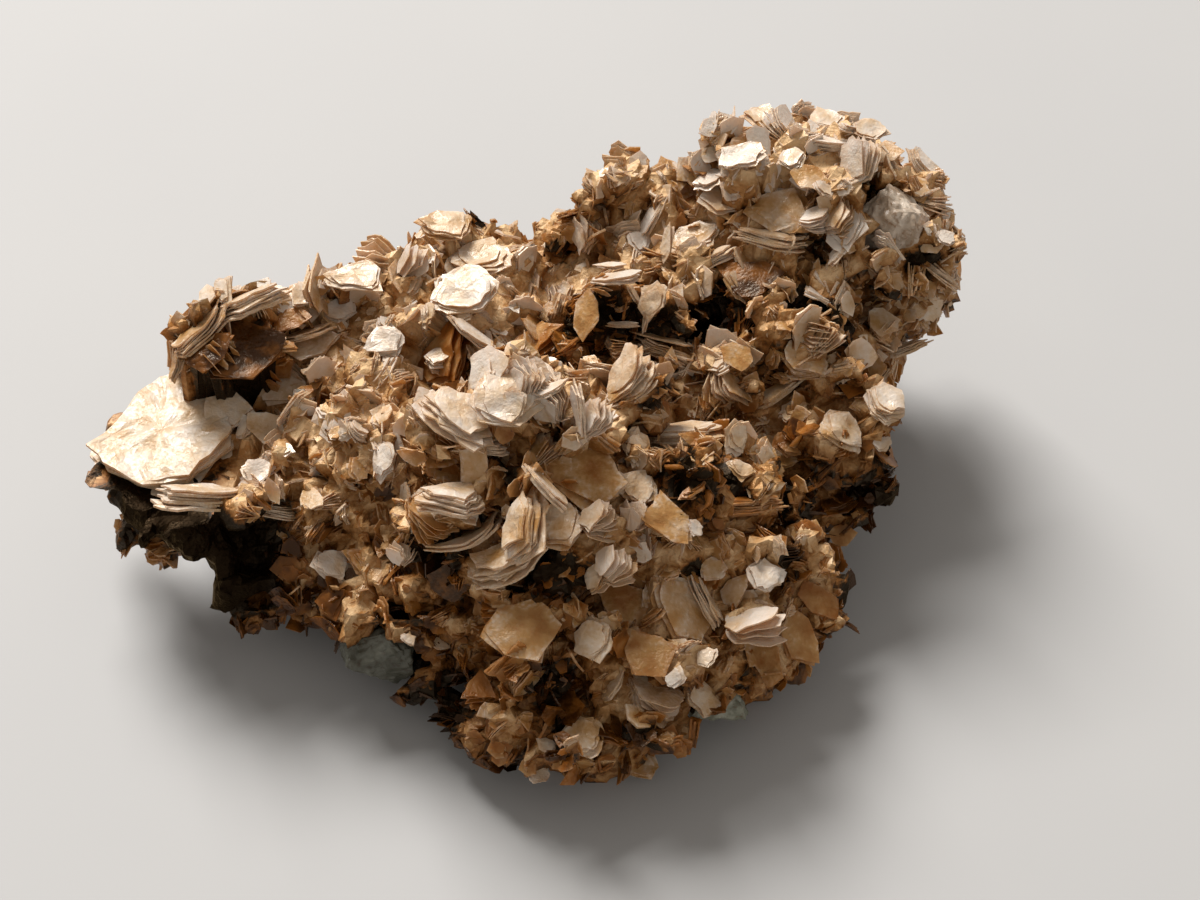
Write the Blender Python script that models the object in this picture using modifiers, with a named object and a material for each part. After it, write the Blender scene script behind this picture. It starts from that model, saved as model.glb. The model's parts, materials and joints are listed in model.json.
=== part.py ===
"""Mica crystal cluster: one intergrown mass of thin bronze-brown plates, with three bits of pale matrix in it.

The cluster lies on the flat break at its foot. +X runs along its long way, from the low left wing to the
high knob, +Y runs from the crown at the front to the back, and +Z is up. The tables are in millimetres, for a
mass TABLE_LENGTH long; the scene is in metres, with its origin under the middle of the cluster's box.
"""

import math
import random
from dataclasses import dataclass

import bmesh
import bpy
from mathutils import Euler, Matrix, Vector, noise
from mathutils.bvhtree import BVHTree

TABLE_LENGTH = 53.0  # mm, the long way of the mass that the tables below describe
LENGTH = 53.0  # mm, the long way of the mass that is made; the plates at its ends add about 1.4
UNIT = 0.001 * LENGTH / TABLE_LENGTH  # metres for each millimetre in the tables
GAP = 0.3  # mm, left between a bit of matrix and the mica around it
GAP_MARGIN = 1.05  # how much wider the pockets are cut than the gap, so that it holds at every corner

VOXEL = 0.85  # mm, how finely the lumps are melted into one mass
CRAG_DEPTH = 0.95  # mm, how far the broken surface stands in and out
CRAG_SIZE = 3.6  # mm, the size of one crag
CRAG_SHARE = 0.55  # the share of that depth that whole crags have; their fine break has the rest
FINE_BREAK = 0.4  # the size of the fine break, as a share of a crag's
MASS_TRIANGLES = 2700  # kept by the mass before its plates are joined to it

PLATE_SIDES = 6
PLATE_TAPER = (0.86, 1.0)  # a plate's upper face, as a share of its lower one
PLATE_COUNT = 64  # smaller plates that stand out all round the mass
PLATE_RADIUS = (1.1, 2.3)  # mm
PLATE_THICKNESS = (0.45, 0.95)  # mm
PLATE_STRETCH = (1.0, 1.3)
PLATE_ROLL = (0.0, 60.0)  # degrees
PLATE_LEAN = (0.1, 0.9)  # 0 for a plate that stands on edge, 1 for one that leans half over
PLATE_SUNK = 0.35  # how deep a plate's middle is in the mass, as a share of its radius
PLATE_SEED = 11
LOWEST_PLATE = 2.5  # mm above the base
UPWARD = 0.35  # how much more often the smaller plates stand on the upper side
MERGE = 0.000002  # metres, how close two corners lie before they count as one

FINISHES = {
    "mica": ((0.29, 0.17, 0.085, 1.0), 0.4),
    "quartz": ((0.42, 0.36, 0.29, 1.0), 0.3),
    "feldspar": ((0.17, 0.17, 0.11, 1.0), 0.6),
}


@dataclass(frozen=True)
class Lump:
    """A rounded share of the mass, or a hollow in it: centre and half sizes in mm, turn in degrees."""

    at: tuple
    radii: tuple
    turn: tuple = (0.0, 0.0, 0.0)


@dataclass(frozen=True)
class Plate:
    """A six-sided mica plate or a thick book of plates: centre, the way its face looks, and its size in mm."""

    at: tuple
    face: tuple
    radius: float
    thickness: float
    roll: float = 0.0
    stretch: float = 1.0


LUMPS = {
    "body_front": Lump((5.0, -3.5, 6.5), (13.5, 11.0, 8.0)),
    "body_back": Lump((6.0, 8.0, 7.5), (15.0, 10.5, 9.0)),
    "foot": Lump((4.2, -12.8, 3.6), (6.8, 5.2, 5.0)),
    "foot_top": Lump((2.6, -10.6, 7.2), (6.6, 5.6, 5.2), (20.0, 0.0, -15.0)),
    "foot_west": Lump((0.2, -11.4, 3.8), (5.2, 5.6, 5.0), (0.0, 0.0, 30.0)),
    "foot_east": Lump((7.4, -11.2, 5.2), (5.2, 5.2, 5.8)),
    "foot_right": Lump((11.0, -8.2, 4.3), (6.4, 5.4, 5.8)),
    "foot_left": Lump((-6.0, -6.5, 5.6), (6.2, 5.8, 5.6)),
    "crown": Lump((0.5, -2.0, 13.2), (7.5, 6.5, 7.0)),
    "crown_front": Lump((1.0, -6.5, 10.5), (8.0, 5.5, 6.5)),
    "crown_right": Lump((8.0, -5.5, 10.0), (5.5, 5.0, 5.5)),
    "left_middle": Lump((-9.0, 1.5, 9.3), (9.0, 8.0, 6.2)),
    "left_wing": Lump((-17.5, 0.5, 8.8), (7.5, 5.8, 4.0), (0.0, 0.0, 12.0)),
    "left_tip": Lump((-22.2, 0.3, 8.0), (4.3, 5.2, 4.2)),
    "left_under": Lump((-15.2, -3.8, 6.0), (5.6, 4.9, 4.0)),
    "left_back": Lump((-15.4, 8.4, 10.2), (7.6, 5.2, 6.0), (0.0, 0.0, 30.0)),
    "back_left": Lump((-8.5, 11.0, 10.0), (6.5, 5.0, 6.2), (0.0, 0.0, 20.0)),
    "back_bump": Lump((-3.6, 15.0, 10.2), (5.6, 4.8, 6.4)),
    "back_middle": Lump((-2.5, 8.5, 11.0), (8.0, 6.5, 5.6)),
    "back_low": Lump((2.0, 13.6, 6.0), (9.0, 6.2, 5.2), (0.0, 0.0, 10.0)),
    "ridge": Lump((7.6, 15.6, 12.4), (7.6, 5.7, 7.6), (0.0, 0.0, 15.0)),
    "knob_left": Lump((14.0, 17.7, 13.6), (4.9, 6.2, 9.0)),
    "knob": Lump((18.6, 16.6, 14.0), (7.6, 7.4, 8.8), (0.0, 10.0, 0.0)),
    "knob_back": Lump((16.0, 18.8, 8.8), (8.4, 5.4, 7.6), (0.0, 0.0, -12.0)),
    "knob_under": Lump((17.6, 12.6, 6.4), (7.6, 7.6, 5.4)),
    "knob_right": Lump((22.7, 15.8, 12.6), (4.7, 6.4, 8.6)),
    "knob_slope": Lump((17.0, 9.0, 9.2), (7.2, 7.2, 6.6)),
    "ledge": Lump((18.3, 2.8, 8.5), (4.6, 4.5, 5.0)),
    "right_wall": Lump((15.2, -5.2, 5.4), (5.4, 5.4, 5.6)),
}

HOLLOWS = {
    "wing_hollow": Lump((-15.8, 4.9, 14.2), (4.8, 2.4, 2.7), (20.0, 0.0, 30.0)),
    "cave": Lump((12.2, 8.8, 14.6), (2.4, 1.9, 4.6), (41.0, 0.0, 0.0)),
    "slot": Lump((10.6, -2.3, 12.6), (2.5, 0.9, 3.0), (30.0, 0.0, 12.0)),
    "under_crown": Lump((4.2, -11.4, 12.2), (2.5, 0.9, 2.8), (45.0, 0.0, -6.0)),
}

PLATES = {
    "wing_plate": Plate((-21.5, 0.7, 11.4), (0.04, -0.06, 1.0), 4.5, 1.3, 8.0, 1.12),
    "wing_edge": Plate((-15.6, -2.4, 11.9), (0.1, -0.3, 1.0), 2.6, 0.9, 20.0, 1.5),
    "rim_left": Plate((-20.6, 5.8, 13.0), (-0.6, 0.0, 0.8), 2.3, 0.8, 0.0, 1.25),
    "rim_middle": Plate((-19.0, 8.6, 13.8), (-0.55, 0.45, 0.7), 2.8, 0.9, 10.0, 1.3),
    "rim_back": Plate((-15.6, 10.6, 14.2), (-0.3, 0.7, 0.65), 3.0, 0.9, 15.0, 1.4),
    "rim_right": Plate((-10.8, 12.0, 14.6), (-0.1, 0.75, 0.65), 2.8, 0.9, 30.0, 1.3),
    "glint_left": Plate((-8.6, 7.4, 14.4), (-0.1, -0.1, 1.0), 1.7, 0.8, 5.0, 1.1),
    "crown_top": Plate((0.6, -2.6, 19.8), (0.1, -0.45, 0.9), 2.7, 0.9, 12.0, 1.2),
    "crown_book": Plate((-3.8, -3.9, 18.4), (-0.45, -0.35, 0.8), 2.4, 1.6, 40.0, 1.25),
    "crown_blade": Plate((3.6, -3.3, 18.8), (0.9, -0.2, 0.35), 2.3, 0.8, 10.0, 1.1),
    "hook_book": Plate((-1.9, -8.7, 14.5), (-0.35, -0.6, 0.7), 2.6, 1.5, 25.0, 1.35),
    "brown_plate": Plate((8.9, -7.5, 14.2), (0.3, -0.6, 0.75), 2.2, 0.8, 15.0, 1.15),
    "burst": Plate((7.6, 10.2, 15.8), (0.3, -0.6, 0.8), 2.4, 0.8, 0.0, 1.1),
    "cave_book": Plate((8.0, 5.6, 14.9), (0.1, -0.25, 0.95), 2.7, 1.1, 20.0, 1.3),
    "ledge_block": Plate((21.4, 3.2, 12.4), (0.3, -0.15, 0.95), 1.9, 1.8, 10.0, 1.2),
    "knob_glint": Plate((13.4, 14.9, 21.6), (-0.1, -0.25, 0.95), 2.1, 0.8, 0.0, 1.3),
    "knob_back": Plate((16.5, 20.6, 19.6), (-0.1, 0.6, 0.75), 2.8, 0.9, 0.0, 1.3),
    "wall_book": Plate((13.4, -9.6, 9.2), (0.35, -0.45, 0.8), 2.1, 1.3, 10.0, 1.3),
    "gold_plate": Plate((3.5, -17.0, 6.0), (0.05, -0.75, 0.6), 1.6, 0.8, 0.0, 1.3),
}


@dataclass(frozen=True)
class Stone:
    """A bit of pale matrix grown into the mass: a lump, and how many corners its broken shape has."""

    lump: Lump
    corners: int
    seed: int
    mineral: str


STONES = {
    "matrix_knob": Stone(Lump((22.6, 13.6, 18.2), (2.5, 2.4, 2.3)), 22, 3, "quartz"),
    "matrix_front": Stone(Lump((11.5, -12.2, 2.9), (2.1, 1.9, 2.0)), 20, 5, "feldspar"),
    "matrix_left": Stone(Lump((-8.6, -9.6, 4.4), (2.6, 2.0, 2.2)), 20, 8, "feldspar"),
}


def mm(values):
    """Turns a table's millimetres into a vector in metres."""
    return Vector(values) * UNIT


def clear_scene():
    """Takes away whatever the scene holds."""
    for obj in list(bpy.data.objects):
        bpy.data.objects.remove(obj)


def new_collection(name):
    """Adds a collection to the scene."""
    collection = bpy.data.collections.new(name)
    bpy.context.scene.collection.children.link(collection)
    return collection


def material(mineral):
    """Makes the plain finish of one kind of mineral."""
    colour, roughness = FINISHES[mineral]
    finish = bpy.data.materials.new(mineral)
    finish.use_nodes = True
    shader = finish.node_tree.nodes["Principled BSDF"]
    shader.inputs["Base Color"].default_value = colour
    shader.inputs["Roughness"].default_value = roughness
    return finish


def new_object(name, bm, collection, parent):
    """Writes a bmesh to a new object under the cluster's empty."""
    mesh = bpy.data.meshes.new(name)
    bm.to_mesh(mesh)
    bm.free()
    obj = bpy.data.objects.new(name, mesh)
    obj.parent = parent
    collection.objects.link(obj)
    return obj


def as_cutter(obj):
    """Marks an object as a tool that isn't part of the cluster."""
    obj.hide_render = True
    obj.display_type = "WIRE"
    return obj


def lump_matrix(lump):
    """Gives the placing that turns a unit ball into a lump."""
    turn = Euler([math.radians(a) for a in lump.turn]).to_matrix().to_4x4()
    radii = Matrix.Diagonal([r * UNIT for r in lump.radii] + [1.0])
    return Matrix.Translation(mm(lump.at)) @ turn @ radii


def add_lump(bm, lump, subdivisions=3):
    """Adds a lump's ellipsoid to a bmesh."""
    bmesh.ops.create_icosphere(bm, subdivisions=subdivisions, radius=1.0, matrix=lump_matrix(lump))


def crag(point):
    """Gives how far the broken surface stands out at a point, from -1 to 1."""
    coarse = noise.cell(point / (CRAG_SIZE * UNIT)) * 2.0 - 1.0
    fine = noise.noise(point / (FINE_BREAK * CRAG_SIZE * UNIT))
    return CRAG_SHARE * coarse + (1.0 - CRAG_SHARE) * fine


def evaluated_bmesh(obj):
    """Reads an object's mesh with its modifiers on it."""
    bm = bmesh.new()
    bm.from_object(obj, bpy.context.evaluated_depsgraph_get())
    return bm


def melted_mass(collection, parent):
    """Melts the lumps into one closed mass and breaks up its surface."""
    bm = bmesh.new()
    for lump in LUMPS.values():
        add_lump(bm, lump)
    rough = new_object("rough_lumps", bm, collection, parent)
    remesh = rough.modifiers.new("melt", "REMESH")
    remesh.mode = "VOXEL"
    remesh.voxel_size = VOXEL * UNIT
    melted = evaluated_bmesh(rough)
    bpy.data.objects.remove(rough)
    for vert in melted.verts:
        vert.co += vert.normal * crag(vert.co) * CRAG_DEPTH * UNIT
    return melted


def add_plate(bm, plate, rng):
    """Adds a plate's six-sided block, with slightly uneven sides, to a bmesh."""
    face = Vector(plate.face).to_track_quat("Z", "Y").to_matrix().to_4x4()
    roll = Matrix.Rotation(math.radians(plate.roll), 4, "Z")
    stretch = Matrix.Diagonal((plate.stretch, 1.0, 1.0, 1.0))
    bmesh.ops.create_cone(
        bm, cap_ends=True, segments=PLATE_SIDES, depth=plate.thickness * UNIT,
        radius1=plate.radius * UNIT, radius2=plate.radius * rng.uniform(*PLATE_TAPER) * UNIT,
        matrix=Matrix.Translation(mm(plate.at)) @ face @ roll @ stretch)


def scattered_plates(mass, rng):
    """Finds places all round the mass for the smaller plates, standing more or less on edge."""
    tree = BVHTree.FromBMesh(mass)
    lumps = list(LUMPS.values())
    plates = []
    while len(plates) < PLATE_COUNT:
        lump = rng.choice(lumps)
        way = Vector((rng.gauss(0, 1), rng.gauss(0, 1), rng.gauss(UPWARD, 1))).normalized()
        outside = mm(lump.at) + way * TABLE_LENGTH * UNIT
        hit, normal, _, _ = tree.ray_cast(outside, -way)
        if hit is None or hit.z < LOWEST_PLATE * UNIT:
            continue
        radius = rng.uniform(*PLATE_RADIUS)
        side = normal.orthogonal().normalized()
        side.rotate(Matrix.Rotation(rng.uniform(0.0, math.tau), 3, normal))
        face = (side + normal * rng.uniform(*PLATE_LEAN)).normalized()
        centre = (hit - normal * PLATE_SUNK * radius * UNIT) / UNIT
        plates.append(Plate(tuple(centre), tuple(face), radius, rng.uniform(*PLATE_THICKNESS),
                            rng.uniform(*PLATE_ROLL), rng.uniform(*PLATE_STRETCH)))
    return plates


def plate_block(rng, mass, collection, parent):
    """Makes every plate that stands out of the mass, as one tool to join to it."""
    bm = bmesh.new()
    for plate in list(PLATES.values()) + scattered_plates(mass, rng):
        add_plate(bm, plate, rng)
    return as_cutter(new_object("plates", bm, collection, parent))


def hollow_tool(collection, parent):
    """Makes the hollows between the crystals, as one tool to cut with."""
    bm = bmesh.new()
    for lump in HOLLOWS.values():
        add_lump(bm, lump, subdivisions=2)
    return as_cutter(new_object("hollows", bm, collection, parent))


def ground_tool(collection, parent):
    """Makes the block that cuts the mass off flat at its foot."""
    bm = bmesh.new()
    side = 2.0 * TABLE_LENGTH * UNIT
    bmesh.ops.create_cube(bm, size=side, matrix=Matrix.Translation((0.0, 0.0, -side / 2.0)))
    return as_cutter(new_object("ground", bm, collection, parent))


def stone_hull(stone, grow=0.0):
    """Makes the broken, flat-sided shape of a bit of matrix, or the pocket that holds it."""
    rng = random.Random(stone.seed)
    bm = bmesh.new()
    for _ in range(stone.corners):
        way = Vector([rng.gauss(0.0, 1.0) for _ in range(3)]).normalized()
        bm.verts.new(way)
    hull = bmesh.ops.convex_hull(bm, input=bm.verts)
    loose = [v for v in hull["geom_interior"] + hull["geom_unused"] if isinstance(v, bmesh.types.BMVert)]
    bmesh.ops.delete(bm, geom=loose, context="VERTS")
    bmesh.ops.transform(bm, matrix=lump_matrix(stone.lump), verts=bm.verts)
    if grow:
        centre = mm(stone.lump.at)
        reach = min(abs((face.verts[0].co - centre).dot(face.normal)) for face in bm.faces)
        scale = 1.0 + grow * UNIT / reach
        bmesh.ops.scale(bm, vec=(scale,) * 3, space=Matrix.Translation(-centre), verts=bm.verts)
    return bm


def pocket_tool(collection, parent):
    """Makes the pockets that the bits of matrix sit in, a gap wider than the bits."""
    joined = bmesh.new()
    for stone in STONES.values():
        mesh = bpy.data.meshes.new("pocket")
        bm = stone_hull(stone, GAP * GAP_MARGIN)
        bm.to_mesh(mesh)
        bm.free()
        joined.from_mesh(mesh)
    return as_cutter(new_object("pockets", joined, collection, parent))


def shells(bm):
    """Sorts a bmesh's faces into the shells that they form, each a list of faces."""
    left = set(bm.faces)
    found = []
    while left:
        edge_of_search = [left.pop()]
        shell = list(edge_of_search)
        while edge_of_search:
            face = edge_of_search.pop()
            near = {other for edge in face.edges for other in edge.link_faces} & left
            left -= near
            shell.extend(near)
            edge_of_search.extend(near)
        found.append(shell)
    return found


def folded_faces(bm):
    """Finds faces that lie back to back on the same corners, with nothing between them."""
    by_corners = {}
    for face in bm.faces:
        by_corners.setdefault(frozenset(face.verts), []).append(face)
    return [face for faces in by_corners.values() if len(faces) > 1 for face in faces]


def keep_outer_shell(obj):
    """Makes an object's joins and cuts final, and fills any void that they closed off inside it."""
    bm = evaluated_bmesh(obj)
    bmesh.ops.triangulate(bm, faces=bm.faces)
    bmesh.ops.dissolve_degenerate(bm, edges=bm.edges, dist=MERGE)
    bmesh.ops.delete(bm, geom=folded_faces(bm), context="FACES")
    inner = sorted(shells(bm), key=len)[:-1]
    bmesh.ops.delete(bm, geom=[face for shell in inner for face in shell], context="FACES")
    obj.modifiers.clear()
    bm.to_mesh(obj.data)
    bm.free()


def boolean(obj, operation, other):
    """Joins another object to this one, or cuts it away."""
    step = obj.modifiers.new(other.name, "BOOLEAN")
    step.operation = operation
    step.solver = "EXACT"
    step.object = other
    step.use_self = operation == "UNION"


def centre_on_base(root, parts):
    """Moves the cluster so that its origin is under the middle of its box, on the flat break."""
    depsgraph = bpy.context.evaluated_depsgraph_get()
    corners = []
    for obj in parts.objects:
        if obj.type == "MESH":
            mesh = obj.evaluated_get(depsgraph).to_mesh()
            corners += [obj.matrix_world @ vert.co for vert in mesh.vertices]
    low = Vector([min(c[axis] for c in corners) for axis in range(3)])
    high = Vector([max(c[axis] for c in corners) for axis in range(3)])
    root.location = (-(low.x + high.x) / 2.0, -(low.y + high.y) / 2.0, -low.z)


def main():
    """Builds the cluster."""
    clear_scene()
    parts = new_collection("mica_cluster")
    tools = new_collection("tools")
    root = bpy.data.objects.new("mica_cluster_origin", None)
    parts.objects.link(root)
    rng = random.Random(PLATE_SEED)

    melted = melted_mass(tools, root)
    plates = plate_block(rng, melted, tools, root)
    mass = new_object("mica_mass", melted, parts, root)
    facets = mass.modifiers.new("facets", "DECIMATE")
    facets.ratio = MASS_TRIANGLES / len(mass.data.polygons) / 2.0
    boolean(mass, "DIFFERENCE", hollow_tool(tools, root))
    boolean(mass, "UNION", plates)
    boolean(mass, "DIFFERENCE", pocket_tool(tools, root))
    boolean(mass, "DIFFERENCE", ground_tool(tools, root))
    keep_outer_shell(mass)

    finishes = {mineral: material(mineral) for mineral in FINISHES}
    mass.data.materials.append(finishes["mica"])
    for name, stone in STONES.items():
        bit = new_object(name, stone_hull(stone), parts, root)
        bit.data.materials.append(finishes[stone.mineral])
    centre_on_base(root, parts)


main()
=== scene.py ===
"""Mica crystal cluster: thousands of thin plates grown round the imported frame, and the studio they stand in.

Lengths in the dataclasses are millimetres unless their names say otherwise. Everything is built in the
frame's own metres: +X from the low wing to the high knob, +Y from the crown to the back, +Z up.
"""
import sys

import json
import logging
import math
import random
from dataclasses import dataclass, replace
from enum import Enum
from typing import Any, Iterable, Mapping, Sequence

import bmesh
import bpy
from mathutils import Euler, Matrix, Vector, noise
from mathutils.bvhtree import BVHTree
from mathutils.kdtree import KDTree

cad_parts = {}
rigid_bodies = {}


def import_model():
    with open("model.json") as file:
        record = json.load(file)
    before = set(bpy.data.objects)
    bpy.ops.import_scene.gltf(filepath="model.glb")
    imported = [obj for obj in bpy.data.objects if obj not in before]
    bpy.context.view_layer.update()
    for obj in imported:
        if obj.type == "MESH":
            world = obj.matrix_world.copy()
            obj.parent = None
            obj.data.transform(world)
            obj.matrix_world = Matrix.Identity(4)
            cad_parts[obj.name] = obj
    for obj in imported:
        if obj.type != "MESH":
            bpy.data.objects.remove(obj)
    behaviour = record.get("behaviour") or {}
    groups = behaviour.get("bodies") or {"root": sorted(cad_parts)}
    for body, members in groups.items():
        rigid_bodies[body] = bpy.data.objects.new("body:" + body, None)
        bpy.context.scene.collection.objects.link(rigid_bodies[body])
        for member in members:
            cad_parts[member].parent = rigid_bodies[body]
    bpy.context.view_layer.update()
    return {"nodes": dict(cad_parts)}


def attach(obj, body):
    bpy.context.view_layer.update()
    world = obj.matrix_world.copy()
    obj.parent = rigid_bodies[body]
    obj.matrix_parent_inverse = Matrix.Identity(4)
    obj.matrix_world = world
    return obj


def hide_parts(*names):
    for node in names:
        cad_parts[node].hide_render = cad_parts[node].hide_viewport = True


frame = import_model()

MM = 0.001
SAME_PLACE = 0.00001  # Corners closer together than this, in metres, are one.
LOG = logging.getLogger("mica_cluster")
Triple = tuple[float, float, float]
Colour = Triple
Range = tuple[float, float]


# ---------------------------------------------------------------------------------------------- node maths


class Socket:
    """A node's output that takes part in Python arithmetic: each operation on values adds a Math node."""

    def __init__(self, graph: "Graph", output: bpy.types.NodeSocket) -> None:
        """Wraps an output.

        Args:
            graph: The graph that the output's node is in.
            output: The output itself.
        """
        self.graph = graph
        self.output = output

    def _math(self, operation: str, *values: Any) -> "Socket":
        """Adds a Math node.

        Args:
            operation: The node's operation, such as ADD.
            values: Its inputs in order, each a Socket or a number.

        Returns:
            The node's value.
        """
        return self.graph.add("ShaderNodeMath", {"operation": operation}, dict(enumerate(values)))

    def __add__(self, other: Any) -> "Socket":
        """Gives self + other."""
        return self._math("ADD", self, other)

    def __radd__(self, other: Any) -> "Socket":
        """Gives other + self."""
        return self._math("ADD", other, self)

    def __sub__(self, other: Any) -> "Socket":
        """Gives self - other."""
        return self._math("SUBTRACT", self, other)

    def __rsub__(self, other: Any) -> "Socket":
        """Gives other - self."""
        return self._math("SUBTRACT", other, self)

    def __mul__(self, other: Any) -> "Socket":
        """Gives self * other."""
        return self._math("MULTIPLY", self, other)

    def __rmul__(self, other: Any) -> "Socket":
        """Gives other * self."""
        return self._math("MULTIPLY", other, self)

    def __truediv__(self, other: Any) -> "Socket":
        """Gives self / other."""
        return self._math("DIVIDE", self, other)

    def __rtruediv__(self, other: Any) -> "Socket":
        """Gives other / self."""
        return self._math("DIVIDE", other, self)

    def __pow__(self, other: Any) -> "Socket":
        """Gives self to the power of other."""
        return self._math("POWER", self, other)

    def sine(self) -> "Socket":
        """Gives the sine of an angle."""
        return self._math("SINE", self)

    def cosine(self) -> "Socket":
        """Gives the cosine of an angle."""
        return self._math("COSINE", self)

    def step(self, low: float, high: float) -> "Socket":
        """Rises smoothly from 0 at low to 1 at high.

        Args:
            low: Where the rise starts.
            high: Where it ends.

        Returns:
            The smooth step.
        """
        return self.graph.add("ShaderNodeMapRange", {"interpolation_type": "SMOOTHSTEP"},
                              {"Value": self, "From Min": low, "From Max": high})

    def below(self, limit: Any) -> "Socket":
        """Says whether the value is less than a limit."""
        return self._math("LESS_THAN", self, limit)

    def between(self, low: float, high: float) -> "Socket":
        """Stretches 0 to 1 onto low to high.

        Args:
            low: The value at 0.
            high: The value at 1.

        Returns:
            The stretched value.
        """
        return self * (high - low) + low


class Graph:
    """Builds a node tree, for a material or for Geometry Nodes."""

    def __init__(self, tree: bpy.types.NodeTree) -> None:
        """Keeps the tree that nodes are added to."""
        self.tree = tree

    def feed(self, target: bpy.types.NodeSocket, value: Any) -> None:
        """Links or sets one input.

        Args:
            target: The input.
            value: A Socket to link, or a plain value; a colour of three numbers gets its alpha.
        """
        if isinstance(value, Socket):
            self.tree.links.new(value.output, target)
            return
        if target.type == "RGBA" and len(value) == 3:
            value = (*value, 1.0)
        target.default_value = value

    def add(self, kind: str, settings: Mapping[str, Any] | None = None,
            inputs: Mapping[Any, Any] | None = None, output: Any = 0) -> Socket:
        """Adds any node.

        Args:
            kind: The node's type, such as ShaderNodeTexNoise.
            settings: Its own properties, set first; "stops" lists a ramp's (position, colour) pairs.
            inputs: Its inputs by name or number, each a Socket or a plain value.
            output: The name or number of the output that is wanted.

        Returns:
            That output.
        """
        node = self.tree.nodes.new(kind)
        for name, value in (settings or {}).items():
            if name == "stops":
                self._set_stops(node.color_ramp, value)
            else:
                setattr(node, name, value)
        for name, value in (inputs or {}).items():
            self.feed(node.inputs[name], value)
        return Socket(self, node.outputs[output])

    @staticmethod
    def _set_stops(ramp: bpy.types.ColorRamp, stops: Sequence[tuple[float, Colour]]) -> None:
        """Gives a colour ramp its stops.

        Args:
            ramp: The ramp.
            stops: Pairs of position and colour, in order.
        """
        while len(ramp.elements) < len(stops):
            ramp.elements.new(1.0)
        for element, (position, colour) in zip(ramp.elements, stops):
            element.position = position
            element.color = (*colour, 1.0)

    def attribute(self, name: str) -> Socket:
        """Reads a mesh attribute as a number."""
        return self.add("ShaderNodeAttribute", {"attribute_name": name}, output="Fac")

    def place(self) -> Socket:
        """Gives the object coordinates, in metres."""
        return self.add("ShaderNodeTexCoord", output="Object")

    def noise(self, place: Socket, size: float, detail: float) -> Socket:
        """Adds noise of a real size.

        Args:
            place: The coordinates to read it at.
            size: The size of its blobs, mm.
            detail: How many finer layers it has.

        Returns:
            Its value, about 0 to 1.
        """
        return self.add("ShaderNodeTexNoise", inputs={"Vector": place, "Scale": 1.0 / (size * MM), "Detail": detail})

    def ramp(self, factor: Socket, *stops: tuple[float, Colour]) -> Socket:
        """Adds a colour ramp.

        Args:
            factor: Where on the ramp to read.
            stops: Pairs of position and colour, in order.

        Returns:
            The colour.
        """
        return self.add("ShaderNodeValToRGB", {"stops": stops}, {0: factor})

    def mix(self, factor: Any, first: Any, second: Any) -> Socket:
        """Mixes two colours.

        Args:
            factor: 0 for the first, 1 for the second.
            first: The colour at 0.
            second: The colour at 1.

        Returns:
            The mixed colour.
        """
        return self.add("ShaderNodeMix", {"data_type": "RGBA", "clamp_factor": True},
                        {"Factor": factor, "A": first, "B": second}, output="Result")

    def bump(self, height: Socket, depth: float) -> Socket:
        """Turns a height into a normal.

        Args:
            height: The height, 0 to 1.
            depth: How far 0 to 1 stands out, mm.

        Returns:
            The normal.
        """
        return self.add("ShaderNodeBump", inputs={"Distance": depth * MM, "Height": height})

    def finish(self, surface: Socket) -> None:
        """Ends a material with its surface shader."""
        out = self.tree.nodes.new("ShaderNodeOutputMaterial")
        self.tree.links.new(surface.output, out.inputs["Surface"])


# ------------------------------------------------------------------------------------------------ finishes


def new_material(name: str) -> tuple[bpy.types.Material, Graph]:
    """Makes an empty node material.

    Args:
        name: The material's name.

    Returns:
        The material and its graph.
    """
    material = bpy.data.materials.new(name)
    material.use_nodes = True
    material.node_tree.nodes.clear()
    return material, Graph(material.node_tree)


@dataclass(frozen=True)
class PlateMarks:
    """What the mica's finish reads at a point of a plate: its mesh's attributes, and the noises that mottle it."""

    tone: Socket
    leaf: Socket
    edge: Socket
    rim: Socket
    reach: Socket
    cloud: Socket
    swell: Socket
    grain: Socket
    fine: Socket


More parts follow.
